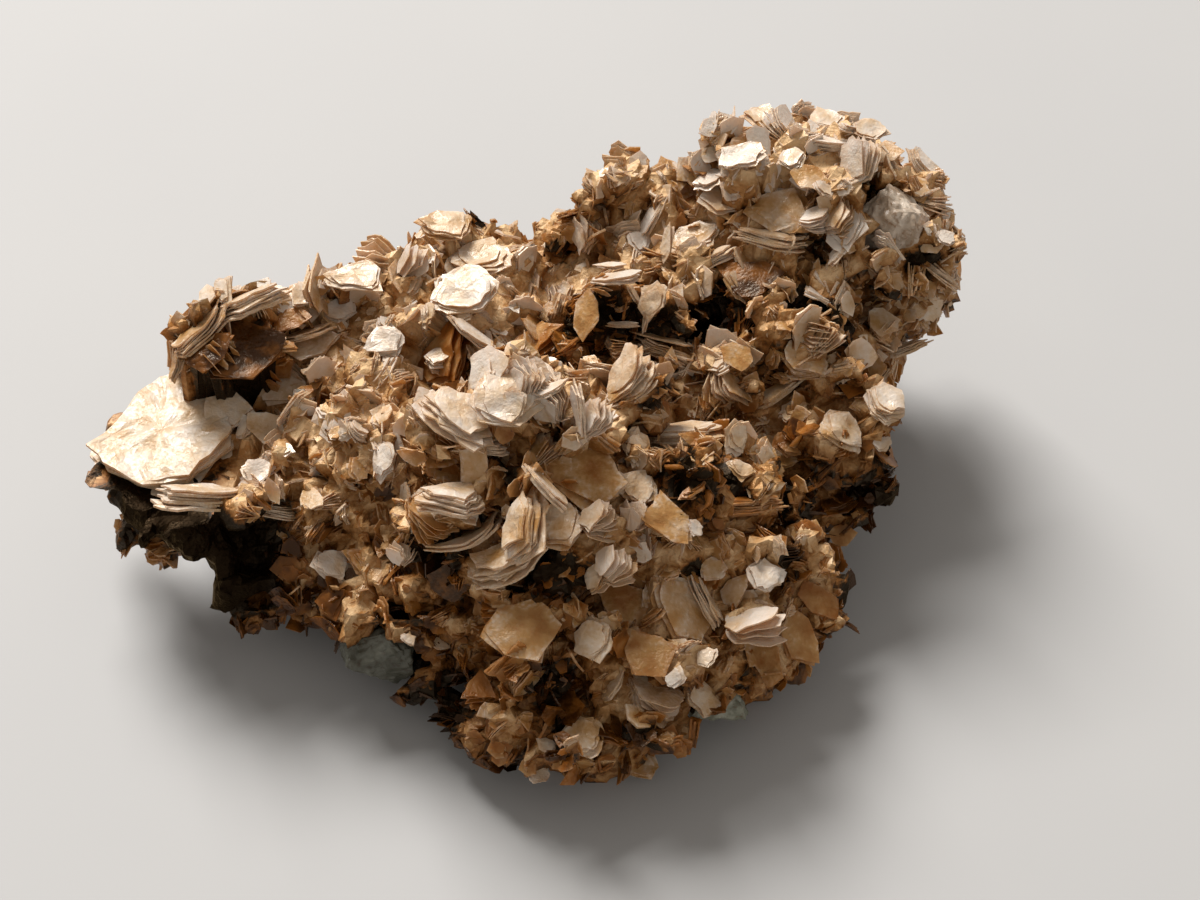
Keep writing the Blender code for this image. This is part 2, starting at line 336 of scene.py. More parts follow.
@dataclass(frozen=True)
class MicaFinish:
    """Thin mica plates, from deep amber to frosted pearl as their tone says, with pale torn edges; the tone brings
    painted shade and painted highlight in as well as the plates' own colour.
    """

    name: str = "mica_plate"
    # The ramp of the plates' colours; the tone picks among them, so deep stands partly for painted shade and pearl
    # partly for painted highlight.
    deep: Colour = (0.045, 0.013, 0.001)
    amber: Colour = (0.310, 0.112, 0.018)
    tan: Colour = (0.510, 0.300, 0.112)
    cream: Colour = (0.710, 0.575, 0.405)
    pearl: Colour = (0.800, 0.755, 0.680)
    # Whitish frost for torn edges and patches, partly painted glint.
    frost_and_glint: Colour = (0.800, 0.750, 0.660)
    glow: Colour = (0.910, 0.560, 0.240)
    sheen: Colour = (1.000, 0.880, 0.720)
    # Near black, for painted shade on plates whose tone falls below zero.
    painted_shadow_colour: Colour = (0.016, 0.007, 0.002)
    cloud_size: float = 1.4
    swell_size: float = 0.7
    grain_size: float = 0.22
    fine_size: float = 0.09
    detail: float = 4.0
    fine_detail: float = 2.0
    # How much the tone, the sheet, the height over the ground and the noises count for in a plate's shade, with a
    # plain offset; the height's share is painted shade near the ground.
    tone_share: float = 0.86
    leaf_share: float = 0.08
    reach_share: float = 0.12
    cloud_share: float = 0.9
    grain_share: float = 0.2
    lightness: float = 0.11
    # How much frost and painted glint the torn edges and the patches take, how pale the cut sides are, and how dark
    # and metallic painted shade makes a plate at most.
    tear_frost_and_glint: float = 0.60
    patch_frost_and_glint: float = 0.35
    pale_sides: float = 0.60
    darkest_painted_shadow: float = 0.80
    roughness: Range = (0.06, 0.52)
    specular: float = 0.50
    coat: float = 0.60
    coat_roughness: float = 0.16
    bump: float = 0.10
    lit_through: Range = (0.40, 0.28)

    def _marks(self, g: Graph) -> PlateMarks:
        """Adds the nodes that read a plate's marks.

        Args:
            g: The material's graph.

        Returns:
            The marks.
        """
        place = g.place()
        stored = {name: g.attribute(name) for name in ("tone", "leaf", "edge", "rim", "reach")}
        return PlateMarks(
            **stored, cloud=g.noise(place, self.cloud_size, self.detail),
            swell=g.noise(place, self.swell_size, self.detail), grain=g.noise(place, self.grain_size, self.detail),
            fine=g.noise(place, self.fine_size, self.fine_detail))

    def _shade(self, m: PlateMarks) -> Socket:
        """Works out where a plate's colour lies between the deep and the pearly ones; the tone and the height over
        the ground bring painted shade in, darker close to the ground.

        Args:
            m: The plate's marks.

        Returns:
            The place on the colour ramp.
        """
        shade = m.tone * self.tone_share + m.leaf * self.leaf_share + m.reach.step(-0.4, 1.6) * self.reach_share
        shade = shade + (m.cloud - 0.5) * self.cloud_share + (m.grain - 0.5) * self.grain_share
        return shade + self.lightness

    def _colour(self, g: Graph, m: PlateMarks, pale: Socket, torn: Socket, painted_shadow: Socket) -> Socket:
        """Lays the frost and painted glint, the pale cut sides and the painted shade over a plate's own colour.

        Args:
            g: The material's graph.
            m: The plate's marks.
            pale: How much a plate of this tone takes frost and painted glint.
            torn: How torn it is here.
            painted_shadow: How far painted shade darkens it, where its tone falls below zero.

        Returns:
            The colour.
        """
        colour = g.ramp(self._shade(m), (0.00, self.deep), (0.24, self.amber), (0.50, self.tan),
                        (0.76, self.cream), (1.00, self.pearl))
        colour = g.mix(torn * self.tear_frost_and_glint, colour, self.frost_and_glint)
        patch = m.grain.step(0.54, 0.66) * m.cloud.step(0.46, 0.62) * pale
        colour = g.mix(patch * self.patch_frost_and_glint, colour, self.frost_and_glint)
        side = g.mix(m.fine.step(0.40, 0.62), self.tan, self.cream)
        colour = g.mix(m.rim * pale * self.pale_sides, colour, side)
        return g.mix(painted_shadow, colour, self.painted_shadow_colour)

    def make(self) -> bpy.types.Material:
        """Builds the material.

        Returns:
            The material.
        """
        material, g = new_material(self.name)
        m = self._marks(g)
        # Plates of high tone, the open and lit ones, take frost and painted glint.
        pale = m.tone.step(-0.05, 0.60)
        torn = m.edge.step(0.76, 1.0) * m.grain.step(0.42, 0.58) * m.cloud.step(0.36, 0.56) * pale
        # Painted shade: a tone below zero turns a plate near black and metallic.
        painted_shadow = m.tone.step(-0.75, -0.25).between(self.darkest_painted_shadow, 0.0)
        dull = m.grain * 0.5 + m.cloud * 0.3 + m.leaf * 0.25 + torn * 0.3
        height = m.grain * 0.6 + m.swell + m.fine * 0.15
        surface = g.add("ShaderNodeBsdfPrincipled", inputs={
            "Base Color": self._colour(g, m, pale, torn, painted_shadow), "Roughness": dull.between(*self.roughness),
            "Metallic": painted_shadow, "Specular IOR Level": self.specular, "Specular Tint": self.sheen,
            "Coat Weight": m.tone.step(0.15, 0.80) * m.grain.step(0.35, 0.60) * self.coat,
            "Coat Roughness": self.coat_roughness, "Normal": g.bump(height, self.bump)})
        through = g.add("ShaderNodeBsdfTranslucent", inputs={"Color": self.glow})
        thin = (m.tone * 0.8 + m.cloud * 0.4).between(*self.lit_through) * m.tone.step(-0.35, 0.10)
        g.finish(g.add("ShaderNodeMixShader", inputs={0: thin, 1: surface, 2: through}))
        return material


@dataclass(frozen=True)
class GroundMassFinish:
    """The close-packed mica that the plates grow out of: brown and flaky, with painted shade that darkens it where
    less of the sky is open to it and where a recess shuts it in.
    """

    name: str = "mica_ground"
    dark: Colour = (0.009, 0.004, 0.001)
    brown: Colour = (0.200, 0.074, 0.014)
    tan: Colour = (0.400, 0.210, 0.078)
    cream: Colour = (0.620, 0.420, 0.230)
    sheen: Colour = (1.000, 0.780, 0.520)
    flake_size: float = 0.55
    cloud_size: float = 1.6
    swell_size: float = 0.6
    grain_size: float = 0.25
    detail: float = 4.0
    # How much openness, the recesses, the flakes and the noises count for in the ground's shade; openness and the
    # recesses bring painted shade in, and a shut-in place is also made metallic.
    openness_share: float = 0.88
    shut_share: float = 1.1
    flake_share: float = 0.25
    cloud_share: float = 0.9
    grain_share: float = 0.5
    roughness: Range = (0.30, 0.7)
    shut_metal: float = 0.8
    coat: float = 0.15
    coat_roughness: float = 0.25
    bump: float = 0.16

    def make(self) -> bpy.types.Material:
        """Builds the material.

        Returns:
            The material.
        """
        material, g = new_material(self.name)
        place, shut = g.place(), g.attribute("shut")
        flakes = g.add("ShaderNodeTexVoronoi", inputs={"Vector": place, "Scale": 1.0 / (self.flake_size * MM)},
                       output="Color")
        flake = g.add("ShaderNodeSeparateColor", inputs={0: flakes})
        cloud = g.noise(place, self.cloud_size, self.detail)
        grain = g.noise(place, self.grain_size, self.detail)
        # Painted shade: darker where less sky is open and inside a recess, where it is also metallic and loses its
        # coat.
        shade = g.attribute("openness") * self.openness_share - shut * self.shut_share + flake * self.flake_share
        shade = shade + (cloud - 0.5) * self.cloud_share + (grain - 0.5) * self.grain_share
        colour = g.ramp(shade, (0.05, self.dark), (0.30, self.brown), (0.62, self.tan), (0.95, self.cream))
        height = flake * 0.5 + grain * 0.6 + g.noise(place, self.swell_size, self.detail)
        g.finish(g.add("ShaderNodeBsdfPrincipled", inputs={
            "Base Color": colour, "Roughness": flake.between(*self.roughness), "Specular Tint": self.sheen,
            "Metallic": shut * self.shut_metal, "Coat Weight": self.coat - shut * self.coat,
            "Coat Roughness": self.coat_roughness, "Normal": g.bump(height, self.bump)}))
        return material


@dataclass(frozen=True)
class StoneFinish:
    """A bit of pale matrix: cloudy, a little glassy, stained along its cracks."""

    name: str
    pale: Colour
    grey: Colour
    stain: Colour
    roughness: Range
    cloud_size: float = 1.1
    grain_size: float = 0.3
    stained: float = 0.7
    coat: float = 0.2
    bump: float = 0.12

    def make(self) -> bpy.types.Material:
        """Builds the material.

        Returns:
            The material.
        """
        material, g = new_material(self.name)
        place = g.place()
        cloud = g.noise(place, self.cloud_size, 5.0)
        grain = g.noise(place, self.grain_size, 4.0)
        colour = g.mix(cloud.step(0.35, 0.68), self.grey, self.pale)
        colour = g.mix(grain.step(0.52, 0.72) * self.stained, colour, self.stain)
        height = cloud * 0.8 + grain * 0.5
        g.finish(g.add("ShaderNodeBsdfPrincipled", inputs={
            "Base Color": colour, "Roughness": grain.between(*self.roughness),
            "Coat Weight": self.coat, "Coat Roughness": 0.2, "Normal": g.bump(height, self.bump)}))
        return material


@dataclass(frozen=True)
class FloorFinish:
    """A plain pale studio floor with the faintest mottling."""

    name: str = "studio_floor"
    pale: Colour = (0.40, 0.40, 0.40)
    shade: Colour = (0.37, 0.37, 0.375)
    mottle_size: float = 30.0
    roughness: float = 0.7

    def make(self) -> bpy.types.Material:
        """Builds the material.

        Returns:
            The material.
        """
        material, g = new_material(self.name)
        colour = g.mix(g.noise(g.place(), self.mottle_size, 3.0), self.shade, self.pale)
        g.finish(g.add("ShaderNodeBsdfPrincipled", inputs={"Base Color": colour, "Roughness": self.roughness}))
        return material


# --------------------------------------------------------------------------------------------- sheet making


class Habit(Enum):
    """How the sheets of a book lie to each other."""

    TIGHT = "tight"
    SPLAYED = "splayed"
    ROSETTE = "rosette"


class SheetMesh:
    """A mesh of thin closed sheets, with the attributes that their finish reads."""

    def __init__(self, name: str, toned: bool = True) -> None:
        """Starts an empty mesh.

        Args:
            name: The name that the mesh gets.
            toned: Whether it stores its books' shades; the growth tree gives a sown book its own.
        """
        self.name = name
        self.bm = bmesh.new()
        self.edge = self.bm.verts.layers.float.new("edge")
        self.leaf = self.bm.verts.layers.float.new("leaf")
        self.tone = self.bm.verts.layers.float.new("tone") if toned else None
        self.rim = self.bm.faces.layers.float.new("rim")

    def _ring(self, points: Iterable[Vector], edge: float, leaf: float, tone: float) -> list[bmesh.types.BMVert]:
        """Adds a ring of corners.

        Args:
            points: Where they lie.
            edge: 0 in the middle of a sheet, 1 on its outline.
            leaf: The sheet's own shade.
            tone: The book's own shade.

        Returns:
            The corners.
        """
        ring = []
        for point in points:
            vert = self.bm.verts.new(point)
            vert[self.edge], vert[self.leaf] = edge, leaf
            if self.tone:
                vert[self.tone] = tone
            ring.append(vert)
        return ring

    def _band(self, outer: list, inner: list, rim: float) -> None:
        """Joins two rings of as many corners with a band of faces, or a ring to a middle corner.

        Args:
            outer: The outer ring.
            inner: The inner ring, or a single middle corner in a list.
            rim: 1 for a sheet's cut side, 0 for its face.
        """
        count = len(outer)
        for i in range(count):
            j = (i + 1) % count
            corners = [outer[i], outer[j]] + ([inner[0]] if len(inner) == 1 else [inner[j], inner[i]])
            self.bm.faces.new(corners)[self.rim] = rim

    def add(self, outline: Sequence[Vector], thickness: float, place: Matrix, leaf: float, tone: float = 0.0,
            bend: float = 0.0, rings: Sequence[float] = (), wave: float = 0.0, drift: float = 0.0) -> None:
        """Adds one closed sheet.

        Args:
            outline: Its corners in its own plane, going round.
            thickness: How thick it is, in the outline's units.
            place: Where it goes.
            leaf: Its own shade, 0 to 1.
            tone: Its book's shade, 0 to 1.
            bend: How much it curves up along its own X, per unit of length.
            rings: Shares of the outline at which the face gets further rings, for a sheet that bends.
            wave: How far its face swells and dips.
            drift: Which swells it has; the sheets of a book share them.
        """
        faces = []
        for side in (0.5, -0.5):
            levels = []
            for share in (1.0, *rings, 0.0):
                flat = [p * share for p in outline] if share else [Vector((0.0, 0.0, 0.0))]
                swells = [wave * noise.noise(Vector((p.x, p.y, drift))) for p in flat]
                raised = [Vector((p.x, p.y, side * thickness + bend * p.x * p.x + swell))
                          for p, swell in zip(flat, swells)]
                levels.append(self._ring([place @ p for p in raised], share, leaf, tone))
            for outer, inner in zip(levels, levels[1:]):
                self._band(outer if side > 0 else outer[::-1], inner if side > 0 else inner[::-1], 0.0)
            faces.append(levels[0])
        self._band(faces[1], faces[0], 1.0)

    def finish(self) -> bpy.types.Mesh:
        """Writes the mesh out.

        Returns:
            The mesh.
        """
        bmesh.ops.recalc_face_normals(self.bm, faces=self.bm.faces)
        mesh = bpy.data.meshes.new(self.name)
        self.bm.to_mesh(mesh)
        self.bm.free()
        return mesh


@dataclass(frozen=True)
class Book:
    """A book of mica: sheets of one uneven six-sided outline, one on another. Lengths are for radius 1.

    Its spread is how many degrees its fan opens, tears is how many breaks each side has, step is how much smaller its
    last sheet is than its first, wave is how far a sheet's face swells, and corners is an outline of its own.
    """

    SIDES = 6
    # How far each corner strays, in degrees round and as a share of the radius, and how far the sides' tears do.
    CORNER_SWAY = 17.0
    CORNER_REACH = (0.68, 1.12)
    CORNER_OUT = 0.4
    TEAR_STEP = (0.75, 1.25)
    TEAR_OUT = 0.5
    # How unlike each other a book's sheets are: in size, thickness, place and lean (degrees about X, Y and Z).
    SHEET_SIZE = (0.86, 1.06)
    SHEET_THICKNESS = (0.7, 1.3)
    SLIP = 0.1
    WOBBLE = (2.2, 2.2, 5.0)
    # Where a splayed book's hinge is, as a share of its half length, and how far a rosette's sheets roll about it.
    HINGE = 0.9
    ROLL = 28.0
    DRIFTS = 50.0

    sheets: int = 5
    radius: float = 1.0
    stretch: float = 1.2
    thickness: float = 0.05
    gap: float = 0.05
    habit: Habit = Habit.TIGHT
    spread: float = 8.0
    tears: int = 0
    roughness: float = 0.12
    bend: float = 0.0
    step: float = 0.0
    wave: float = 0.0
    rings: tuple[float, ...] = ()
    corners: tuple[tuple[float, float], ...] = ()

    def outline(self, rng: random.Random) -> list[Vector]:
        """Draws the outline that the book's sheets share.

        Args:
            rng: The source of its unevenness.

        Returns:
            Its corners, going round.
        """
        if self.corners:
            return [Vector((x, y, 0.0)) for x, y in self.corners]
        corners = []
        for i in range(self.SIDES):
            angle = math.radians(360.0 / self.SIDES * i + rng.uniform(-self.CORNER_SWAY, self.CORNER_SWAY))
            reach = self.radius * rng.uniform(*self.CORNER_REACH)
            corners.append(Vector((math.cos(angle) * reach * self.stretch, math.sin(angle) * reach, 0.0)))
        return corners

    def torn(self, corners: Sequence[Vector], rng: random.Random) -> list[Vector]:
        """Breaks up each side of an outline.

        Args:
            corners: The outline.
            rng: The source of the tears.

        Returns:
            The outline with its sides broken into shorter, uneven ones.
        """
        least = 1.0 - self.roughness
        points = []
        for here, there in zip(corners, [*corners[1:], corners[0]]):
            points.append(here * rng.uniform(least, 1.0 + self.CORNER_OUT * self.roughness))
            for k in range(self.tears):
                share = (k + rng.uniform(*self.TEAR_STEP)) / (self.tears + 1)
                points.append(here.lerp(there, share) * rng.uniform(least, 1.0 + self.TEAR_OUT * self.roughness))
        return points

    def sheet_place(self, index: int, rng: random.Random) -> Matrix:
        """Works out where one sheet lies in its book.

        Args:
            index: Which sheet, from the bottom.
            rng: The source of its unevenness.

        Returns:
            Its place in the book.
        """
        share = index / max(self.sheets - 1, 1) - 0.5
        rise = share * (self.sheets - 1) * (self.thickness + self.gap) * self.radius
        aside = [rng.uniform(-self.SLIP, self.SLIP) * self.radius for _ in range(2)]
        slip = Matrix.Translation((*aside, rise))
        wobble = Euler([math.radians(rng.gauss(0.0, lean)) for lean in self.WOBBLE]).to_matrix().to_4x4()
        if self.habit is Habit.TIGHT:
            return slip @ wobble
        hinge = Matrix.Translation((-self.radius * self.stretch * self.HINGE, 0.0, 0.0))
        fan = Matrix.Rotation(math.radians(-2.0 * share * self.spread), 4, "Y")
        turned = hinge @ fan @ hinge.inverted()
        if self.habit is Habit.ROSETTE:
            turned = Matrix.Rotation(math.radians(rng.uniform(-self.ROLL, self.ROLL)), 4, "X") @ turned
        return turned @ slip @ wobble

    def add_to(self, mesh: SheetMesh, place: Matrix, rng: random.Random, tone: float = 0.0) -> None:
        """Adds the whole book to a mesh.

        Args:
            mesh: The mesh.
            place: Where the book goes.
            rng: The source of its unevenness.
            tone: The book's shade, 0 to 1.
        """
        shared, drift = self.outline(rng), rng.uniform(0.0, self.DRIFTS)
        for index in range(self.sheets):
            share = 1.0 - self.step * index / max(self.sheets - 1, 1)
            corners = [p * share * rng.uniform(*self.SHEET_SIZE) for p in shared]
            outline = self.torn(corners, rng)
            thickness = self.thickness * self.radius * rng.uniform(*self.SHEET_THICKNESS)
            lie = place @ self.sheet_place(index, rng)
            mesh.add(outline, thickness, lie, rng.random(), tone, self.bend, self.rings, self.wave, drift)


# ------------------------------------------------------------------------------------------------ viewpoint


@dataclass(frozen=True)
class Viewpoint:
    """Where the cluster is looked at from: 48.5 degrees up, square on to its long way."""

    target: Triple = (3.8, -2.7, 12.0)
    elevation: float = 48.5
    distance: float = 150.0
    lens: float = 75.0
    sensor: float = 36.0
    width: int = 1200
    height: int = 900
    depths: range = range(110, 190)
    clip: Range = (0.001, 10.0)

    @property
    def right(self) -> Vector:
        """The way that the view's right side points."""
        return Vector((1.0, 0.0, 0.0))

    @property
    def up(self) -> Vector:
        """The way that the view's top points."""
        turn = math.radians(self.elevation)
        return Vector((0.0, math.sin(turn), math.cos(turn)))

    @property
    def back(self) -> Vector:
        """The way from the cluster to the camera."""
        return self.right.cross(self.up)

    @property
    def eye(self) -> Vector:
        """Where the camera stands, in metres."""
        return (Vector(self.target) + self.back * self.distance) * MM

    def ray(self, column: float, row: float) -> Vector:
        """Gives the direction that a point of the view is seen along.

        Args:
            column: Its place across the view, in pixels.
            row: Its place down the view, in pixels.

        Returns:
            The direction, of length 1.
        """
        focal = self.lens / self.sensor * self.width
        across = (column - self.width / 2) / focal
        rise = (self.height / 2 - row) / focal
        return (self.right * across + self.up * rise - self.back).normalized()

    def on_surface(self, surface: BVHTree, column: float, row: float) -> tuple[Vector, Vector]:
        """Finds the place on a surface that is seen at a point of the view.

        Args:
            surface: The surface.
            column: The point's place across the view, in pixels.
            row: Its place down the view, in pixels.

        Returns:
            The place and the surface's normal there; where the surface is missed, those nearest to the line.
        """
        way = self.ray(column, row)
        hit, normal, _, _ = surface.ray_cast(self.eye, way)
        if hit is None:
            spots = (surface.find_nearest(self.eye + way * step * MM) for step in self.depths)
            hit, normal, _, _ = min(spots, key=lambda spot: spot[3])
        return hit, normal

    def make_camera(self) -> bpy.types.Object:
        """Makes the camera.

        Returns:
            The camera, which is the scene's own.
        """
        data = bpy.data.cameras.new("camera")
        data.lens, data.sensor_width = self.lens, self.sensor
        data.clip_start, data.clip_end = self.clip
        camera = bpy.data.objects.new("camera", data)
        camera.location = self.eye
        camera.rotation_euler = (math.radians(90.0 - self.elevation), 0.0, 0.0)
        bpy.context.scene.collection.objects.link(camera)
        bpy.context.scene.camera = camera
        return camera


# --------------------------------------------------------------------------------------------- ground mass


def plain_mesh(obj: bpy.types.Object, name: str) -> bpy.types.Mesh:
    """Copies an object's mesh with its modifiers on it.

    Args:
        obj: The object.
        name: The name that the copy gets.

    Returns:
        The copy.
    """
    depsgraph = bpy.context.evaluated_depsgraph_get()
    mesh = bpy.data.meshes.new_from_object(obj.evaluated_get(depsgraph), depsgraph=depsgraph)
    mesh.name = name
    return mesh


def link(mesh: bpy.types.Mesh, name: str) -> bpy.types.Object:
    """Puts a mesh in the scene.

    Args:
        mesh: The mesh.
        name: The object's name.

    Returns:
        The object, at the origin.
    """
    obj = bpy.data.objects.new(name, mesh)
    bpy.context.scene.collection.objects.link(obj)
    return obj


def discard(obj: bpy.types.Object) -> None:
    """Removes an object that was only a step on the way."""
    bpy.data.objects.remove(obj)


def surface_of(mesh: bpy.types.Mesh) -> BVHTree:
    """Makes the search tree of a mesh's surface.

    Args:
        mesh: The mesh.

    Returns:
        The tree, which keeps the surface as it is now.
    """
    bm = bmesh.new()
    bm.from_mesh(mesh)
    surface = BVHTree.FromBMesh(bm)
    bm.free()
    return surface


@dataclass(frozen=True)
class Recess:
    """A recess between the plates, seen at its column and row, dug into the mass and darkened there by painted shade.
    With a negative depth it is a swelling, which is not darkened, and a bare one keeps the plates out."""

    column: float
    row: float
    radius: float
    depth: float
    bare: bool = False

    def falloff(self, place: Vector, middle: Vector) -> float:
        """Gives 1 at the recess's middle and 0 past its radius.

        Args:
            place: The place, in metres.
            middle: The recess's middle, in metres.

        Returns:
            The falloff.
        """
        share = min((place - middle).length / (self.radius * MM), 1.0)
        return (1.0 - share * share) ** 2


@dataclass
class GroundMass:
    """The close-packed mass that the plates stand on: the frame's solid, worn back into domes and hollows."""

    # Each tells one draw of the cell noise from another.
    SUNKEN_DRAW = 13.7
    LEAN_DRAW = 17.3

    view: Viewpoint
    recesses: tuple[Recess, ...]

    node: str = "mica_mass"
    voxel: float = 0.42
    draw_in: float = 0.42
    passes: int = 6
    evening: float = 0.35
    foot: float = 1.2
    foot_kept: float = 0.2
    crag: float = 0.25
    crag_size: float = 1.3
    rosette_size: float = 7.0
    gully_depth: float = 0.9
    gully_width: float = 0.30
    hollow_depth: float = 1.3
    hollow_share: float = 0.45
    facets: tuple[Triple, ...] = ((2.1, 0.75, 0.55), (1.1, 0.60, 0.25))
    # How openness is measured, by looks cast all round each place with the sky above counting most; it darkens the
    # finishes and the sown books as painted shade.
    look: float = 9.0
    look_from: float = 0.3
    looks: int = 48
    level_sky: float = 0.25
    sky_rise: float = 1.2
    blocked_sky: float = 0.5
    least_open: float = 0.15
    open_range: float = 0.70
    naked: float = 0.2
    smoothed: float = 0.75
    smoothed_reach: float = 2.0

    def melted(self, mesh: bpy.types.Mesh, name: str) -> bpy.types.Mesh:
        """Remeshes a mesh into one even skin.

        Args:
            mesh: The mesh, which is used up.
            name: The name that the skin gets.

        Returns:
            The skin.
        """
        step = link(mesh, name)
        remesh = step.modifiers.new("melt", "REMESH")
        remesh.mode, remesh.voxel_size = "VOXEL", self.voxel * MM
        skin = plain_mesh(step, name)
        discard(step)
        return skin

    def find_recesses(self, skin: BVHTree) -> list[tuple[Recess, Vector]]:
        """Finds the recesses' middles on the mass.

        Args:
            skin: The mass before it is worn.

        Returns:
            Each recess that the viewpoint sees, with its middle.
        """
        found = ((recess, self.view.on_surface(skin, recess.column, recess.row)[0]) for recess in self.recesses)
        return list(found)

    def wear(self, place: Vector, recesses: Sequence[tuple[Recess, Vector]]) -> float:
        """Says how far the mass is worn back at a place, in millimetres.

        Args:
            place: The place, in metres.
            recesses: The recesses with their middles.

        Returns:
            The depth: least in the middle of a domed rosette, most in a gully or a sunken rosette.
        """
        distances, centres = noise.voronoi(place / (self.rosette_size * MM))
        border = min((distances[1] - distances[0]) / self.gully_width, 1.0)
        sunken = noise.cell_vector(centres[0] * self.SUNKEN_DRAW).x < self.hollow_share
        depth = self.hollow_depth * border if sunken else self.gully_depth * (1.0 - border) ** 2
        dug = sum(recess.depth * recess.falloff(place, middle) for recess, middle in recesses)
        return self.draw_in + depth + dug + noise.noise(place / (self.crag_size * MM)) * self.crag

    def facet(self, place: Vector) -> float:
        """Says how far the flat-faced flakes of the mass's surface stand up at a place, in millimetres.

        Args:
            place: The place, in metres.

        Returns:
            The height, which may be less than zero.
        """
        height = 0.0
        for size, slope, reach in self.facets:
            _, centres = noise.voronoi(place / (size * MM))
            lean = noise.cell_vector(centres[0] * self.LEAN_DRAW) * 2.0 - Vector((1.0, 1.0, 1.0))
            rise = (place / (size * MM) - centres[0]).dot(lean) * slope * size
            height += min(max(rise, -reach), reach)
        return height

    def roughness_at(self, place: Vector, recesses: Sequence[tuple[Recess, Vector]]) -> float:
        """Says how much of its flakes the mass keeps at a place.

        Args:
            place: The place, in metres.
            recesses: The recesses with their middles; the bare ones are smoother.

        Returns:
            1 away from the bare recesses, less within them.
        """
        within = sum(recess.falloff(place, middle) for recess, middle in recesses if recess.bare)
        return 1.0 - self.smoothed * min(within * self.smoothed_reach, 1.0)

    def free_at(self, place: Vector) -> float:
        """Says how free a place is to move: 0 at the mass's foot, which stays on the floor, 1 above it."""
        return min(max(place.z / (self.foot * MM) - self.foot_kept, 0.0), 1.0)

    def build(self) -> bpy.types.Mesh:
        """Makes the mass's mesh from a copy of the frame's solid.

        Returns:
            The mesh, in metres.
        """
        bm = bmesh.new()
        bm.from_mesh(frame["nodes"][self.node].data)
        bmesh.ops.remove_doubles(bm, verts=bm.verts, dist=SAME_PLACE)
        rough = bpy.data.meshes.new("rough_mass")
        bm.to_mesh(rough)
        bm.free()
        skin = self.melted(rough, "first_skin")
        recesses = self.find_recesses(surface_of(skin))
        self.wear_back(skin, recesses)
        mesh = self.melted(skin, "mica_ground")
        self.raise_flakes(mesh, recesses)
        self.measure_openness(mesh, recesses)
        return mesh

    def wear_back(self, skin: bpy.types.Mesh, recesses: Sequence[tuple[Recess, Vector]]) -> None:
        """Wears the mass back a little at a time.

        Args:
            skin: The mass's skin.
            recesses: The recesses with their middles.
        """
        bm = bmesh.new()
        bm.from_mesh(skin)
        depths = [self.wear(vert.co, recesses) for vert in bm.verts]
        for _ in range(self.passes):
            bm.normal_update()
            for vert, depth in zip(bm.verts, depths):
                vert.co -= vert.normal * depth * MM * self.free_at(vert.co) / self.passes
                vert.co.z = max(vert.co.z, 0.0)
            bmesh.ops.smooth_vert(bm, verts=bm.verts, factor=self.evening, use_axis_x=True, use_axis_y=True)
        bm.to_mesh(skin)
        bm.free()

    def raise_flakes(self, mesh: bpy.types.Mesh, recesses: Sequence[tuple[Recess, Vector]]) -> None:
        """Breaks the mass's surface up into flakes, and stores the way from each rosette's middle.

        Args:
            mesh: The mass's mesh.
            recesses: The recesses with their middles.
        """
        radial = mesh.attributes.new("radial", "FLOAT_VECTOR", "POINT")
        normals = [vert.normal.copy() for vert in mesh.vertices]
        for vert, away, normal in zip(mesh.vertices, radial.data, normals):
            free = self.free_at(vert.co)
            vert.co += normal * self.facet(vert.co) * self.roughness_at(vert.co, recesses) * free * MM
            vert.co.z = max(vert.co.z, 0.0)
            _, centres = noise.voronoi(vert.co / (self.rosette_size * MM))
            away.vector = vert.co - centres[0] * self.rosette_size * MM
        mesh.update()

    def measure_openness(self, mesh: bpy.types.Mesh, recesses: Sequence[tuple[Recess, Vector]]) -> None:
        """Stores how open each corner is to the sky, how far it is shut in by a recess, and whether it is bare; the
        first two paint shade into the finishes.

        Args:
            mesh: The mass's mesh.
            recesses: The recesses with their middles.
        """
        mass = surface_of(mesh)
        ways = [self.spiral_way(i, self.looks) for i in range(self.looks)]
        shut = mesh.attributes.new("shut", "FLOAT", "POINT")
        bare = mesh.attributes.new("bare", "FLOAT", "POINT")
        openness = mesh.attributes.new("openness", "FLOAT", "POINT")
        for vert, value in zip(mesh.vertices, openness.data):
            value.value = self.openness_at(vert.co, vert.normal, mass, ways)
            within = sum(recess.falloff(vert.co, middle) for recess, middle in recesses if recess.depth > 0.0)
            shut.data[vert.index].value = min(within, 1.0)
            naked = any(recess.bare and recess.falloff(vert.co, middle) > self.naked for recess, middle in recesses)
            bare.data[vert.index].value = float(naked)

    def openness_at(self, place: Vector, normal: Vector, mass: BVHTree, ways: Sequence[Vector]) -> float:
        """Measures how open a place is to the sky.

        Args:
            place: The place, in metres.
            normal: The surface's normal there.
            mass: The mass's surface.
            ways: The directions to look in.

        Returns:
            0 deep in a hollow or under the mass, 1 on its top.
        """
        start = place + normal * self.look_from * MM
        seen, clear = 0.0, 0.0
        for way in ways:
            weight = way.dot(normal)
            if weight <= 0.0:
                continue
            _, _, _, distance = mass.ray_cast(start, way, self.look * MM)
            seen += weight
            sky = min(max(self.level_sky + way.z * self.sky_rise, 0.0), 1.0)
            clear += weight * sky * (1.0 if distance is None else self.blocked_sky * distance / (self.look * MM))
        return min(max((clear / seen - self.least_open) / self.open_range, 0.0), 1.0)

    @staticmethod
    def spiral_way(index: int, count: int) -> Vector:
        """Gives one of a set of directions spread evenly over the sphere.

        Args:
            index: Which direction.
            count: How many there are.

        Returns:
            The direction.
        """
        height = 1.0 - 2.0 * (index + 0.5) / count
        golden_share = 3.0 - math.sqrt(5.0)
        turn = index * math.pi * golden_share
        across = math.sqrt(1.0 - height * height)
        return Vector((math.cos(turn) * across, math.sin(turn) * across, height))


